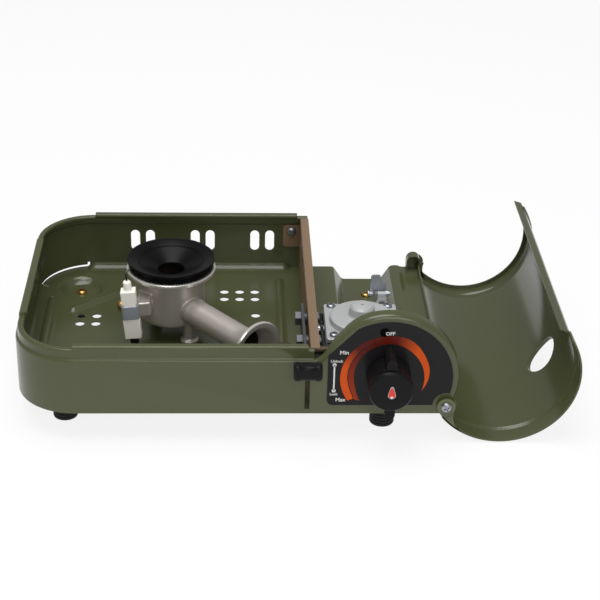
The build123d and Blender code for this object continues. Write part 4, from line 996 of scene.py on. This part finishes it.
tangent = ray(FREE_EDGE + 90)
lip_fold = LID + ray(FREE_EDGE) * 43.2 + tangent * 0.3
lip_line = bent([lip_fold - tangent * 1.8, lip_fold, lip_fold + ray(162) * 4.6], 1.0)
lid_lip = solid("lid_edge_fold", *prism(thickened(lip_line, SHEET), (9.2, 183.3), "y"))
painted(lid_lip, bevel=0.25, of=LID_PART)


def opened(x, z):
    """A point of the closed lid after it swings open about the hinge."""
    return HINGE + Matrix.Rotation(math.radians(-OPEN), 2) @ (Vector((x, z)) - HINGE)


def lid_spot(radius, turn):
    """A place on the lid, by its radius and angle when shut."""
    return opened(*(ARCH + ray(turn) * radius))


def ear_lobe(y, outer):
    """Lobe of the lid about the hinge."""
    spots = [lid_spot(outer, EAR_TURN), lid_spot(outer, EAR_TURN + 3.5)] + arc(HINGE, 5.4, 0, 350, 35)
    return prism([spots[n] for n in geometry.convex_hull_2d(spots)], (y, y + SHEET), "y")


def ear_web(y, outer):
    """Web that runs out from the lobe along the cover's edge."""
    shares = [k / 16 for k in range(17)]
    rim = [lid_spot(outer, EAR_TURN + 19.0 * t) for t in shares]
    inner = [lid_spot(outer - 0.4 - 8.2 * (1 - t) ** 2, EAR_TURN + 19.0 * t) for t in shares[::-1]]
    return prism(rim + inner, (y, y + SHEET), "y")


EAR_EDGES = ((-3.0, 44.4), (182.5, 43.1))
ears = solid("lid_ears", *merged(*[ear_lobe(*edge) for edge in EAR_EDGES]))
carved(ears, merged(*[ear_web(*edge) for edge in EAR_EDGES]), operation="UNION")
painted(ears, bevel=0.3, of=LID_PART)

# Lid pivots
# One plated cross-head screw at each end of the hinge, through the lid's ear into the body.
PIVOT_R = 3.2
for name, y, turn, way, height in (("front_pivot_head", -3.1, 25, FORWARD, 1.9),
                                   ("rear_pivot_head", 183.6, 60, -FORWARD, 1.8)):
    screw_heads(name, [((HINGE.x, y, HINGE.y), turn)], way, PIVOT_R, height, PLATED, "lid_hinge_screws")

# Floor and backdrop, light and camera
# A pale studio sweep under soft overhead light, seen from in front and above as in the picture.
FLOOR_GLOW = 0.85
SKY_LIGHT = 0.36
floor = bpy.data.meshes.new("floor")
floor.from_pydata([(-4, -4, 0), (4, -4, 0), (4, 4, 0), (-4, 4, 0)], [], [(0, 1, 2, 3)])
ground = shown("studio_floor", floor)
pale = bpy.data.materials.new("studio_white")
pale.use_nodes = True
tree = pale.node_tree
matt = tree.nodes["Principled BSDF"]
matt.inputs["Base Color"].default_value = (0.9, 0.9, 0.9, 1)
matt.inputs["Roughness"].default_value = 0.9
rays = tree.nodes.new("ShaderNodeLightPath").outputs
seen = maths(tree, "MAXIMUM", rays["Is Camera Ray"], rays["Is Glossy Ray"])
blend = tree.nodes.new("ShaderNodeMixShader")
wired(tree, (maths(tree, "MULTIPLY", seen, FLOOR_GLOW), blend.inputs["Fac"]),
      (matt.outputs[0], blend.inputs[1]),
      (tree.nodes.new("ShaderNodeEmission").outputs[0], blend.inputs[2]),
      (blend.outputs[0], tree.nodes["Material Output"].inputs["Surface"]))
floor.materials.append(pale)

world = bpy.data.worlds.new("studio")
scene.world = world
world.use_nodes = True
tree = world.node_tree
rays = tree.nodes.new("ShaderNodeLightPath").outputs
seen = maths(tree, "MAXIMUM", rays["Is Camera Ray"], rays["Is Transmission Ray"])
backdrop = tree.nodes["Background"].inputs
backdrop["Color"].default_value = (1, 1, 1, 1)
tree.links.new(maths(tree, "MULTIPLY_ADD", seen, 1 - SKY_LIGHT, SKY_LIGHT), backdrop["Strength"])


def lamp(name, where, target, size, watts):
    """A soft square lamp that points at a target."""
    data = bpy.data.lights.new(name, "AREA")
    data.size = size
    data.energy = watts
    made = shown(name, data)
    made.location = where
    made.rotation_euler = (Vector(target) - Vector(where)).to_track_quat("-Z", "Y").to_euler()


lamp("overhead", (-0.15, -0.10, 1.3), (0, 0, 0), 0.9, 13.5)
lamp("front_fill", (0.25, -1.4, 0.75), (0, 0, 0.04), 0.9, 7.5)

PICTURE = 600           # pixels each way
FOCAL = 1603.1          # in those pixels
SENSOR = 36
CAMERA_AT = (127.72, -787.84, 522.89)
pitch, yaw, roll = (math.radians(v) for v in (28.552, 2.709, -1.431))
lens = bpy.data.cameras.new("camera")
lens.sensor_width = SENSOR
lens.lens = FOCAL / PICTURE * SENSOR
camera = shown("camera", lens)
camera.matrix_world = (Matrix.Translation(placed(*CAMERA_AT)) @ Matrix.Rotation(-yaw, 4, "Z")
                       @ Matrix.Rotation(math.pi / 2 - pitch, 4, "X") @ Matrix.Rotation(-roll, 4, "Z"))
scene.camera = camera
scene.view_settings.view_transform = "Standard"
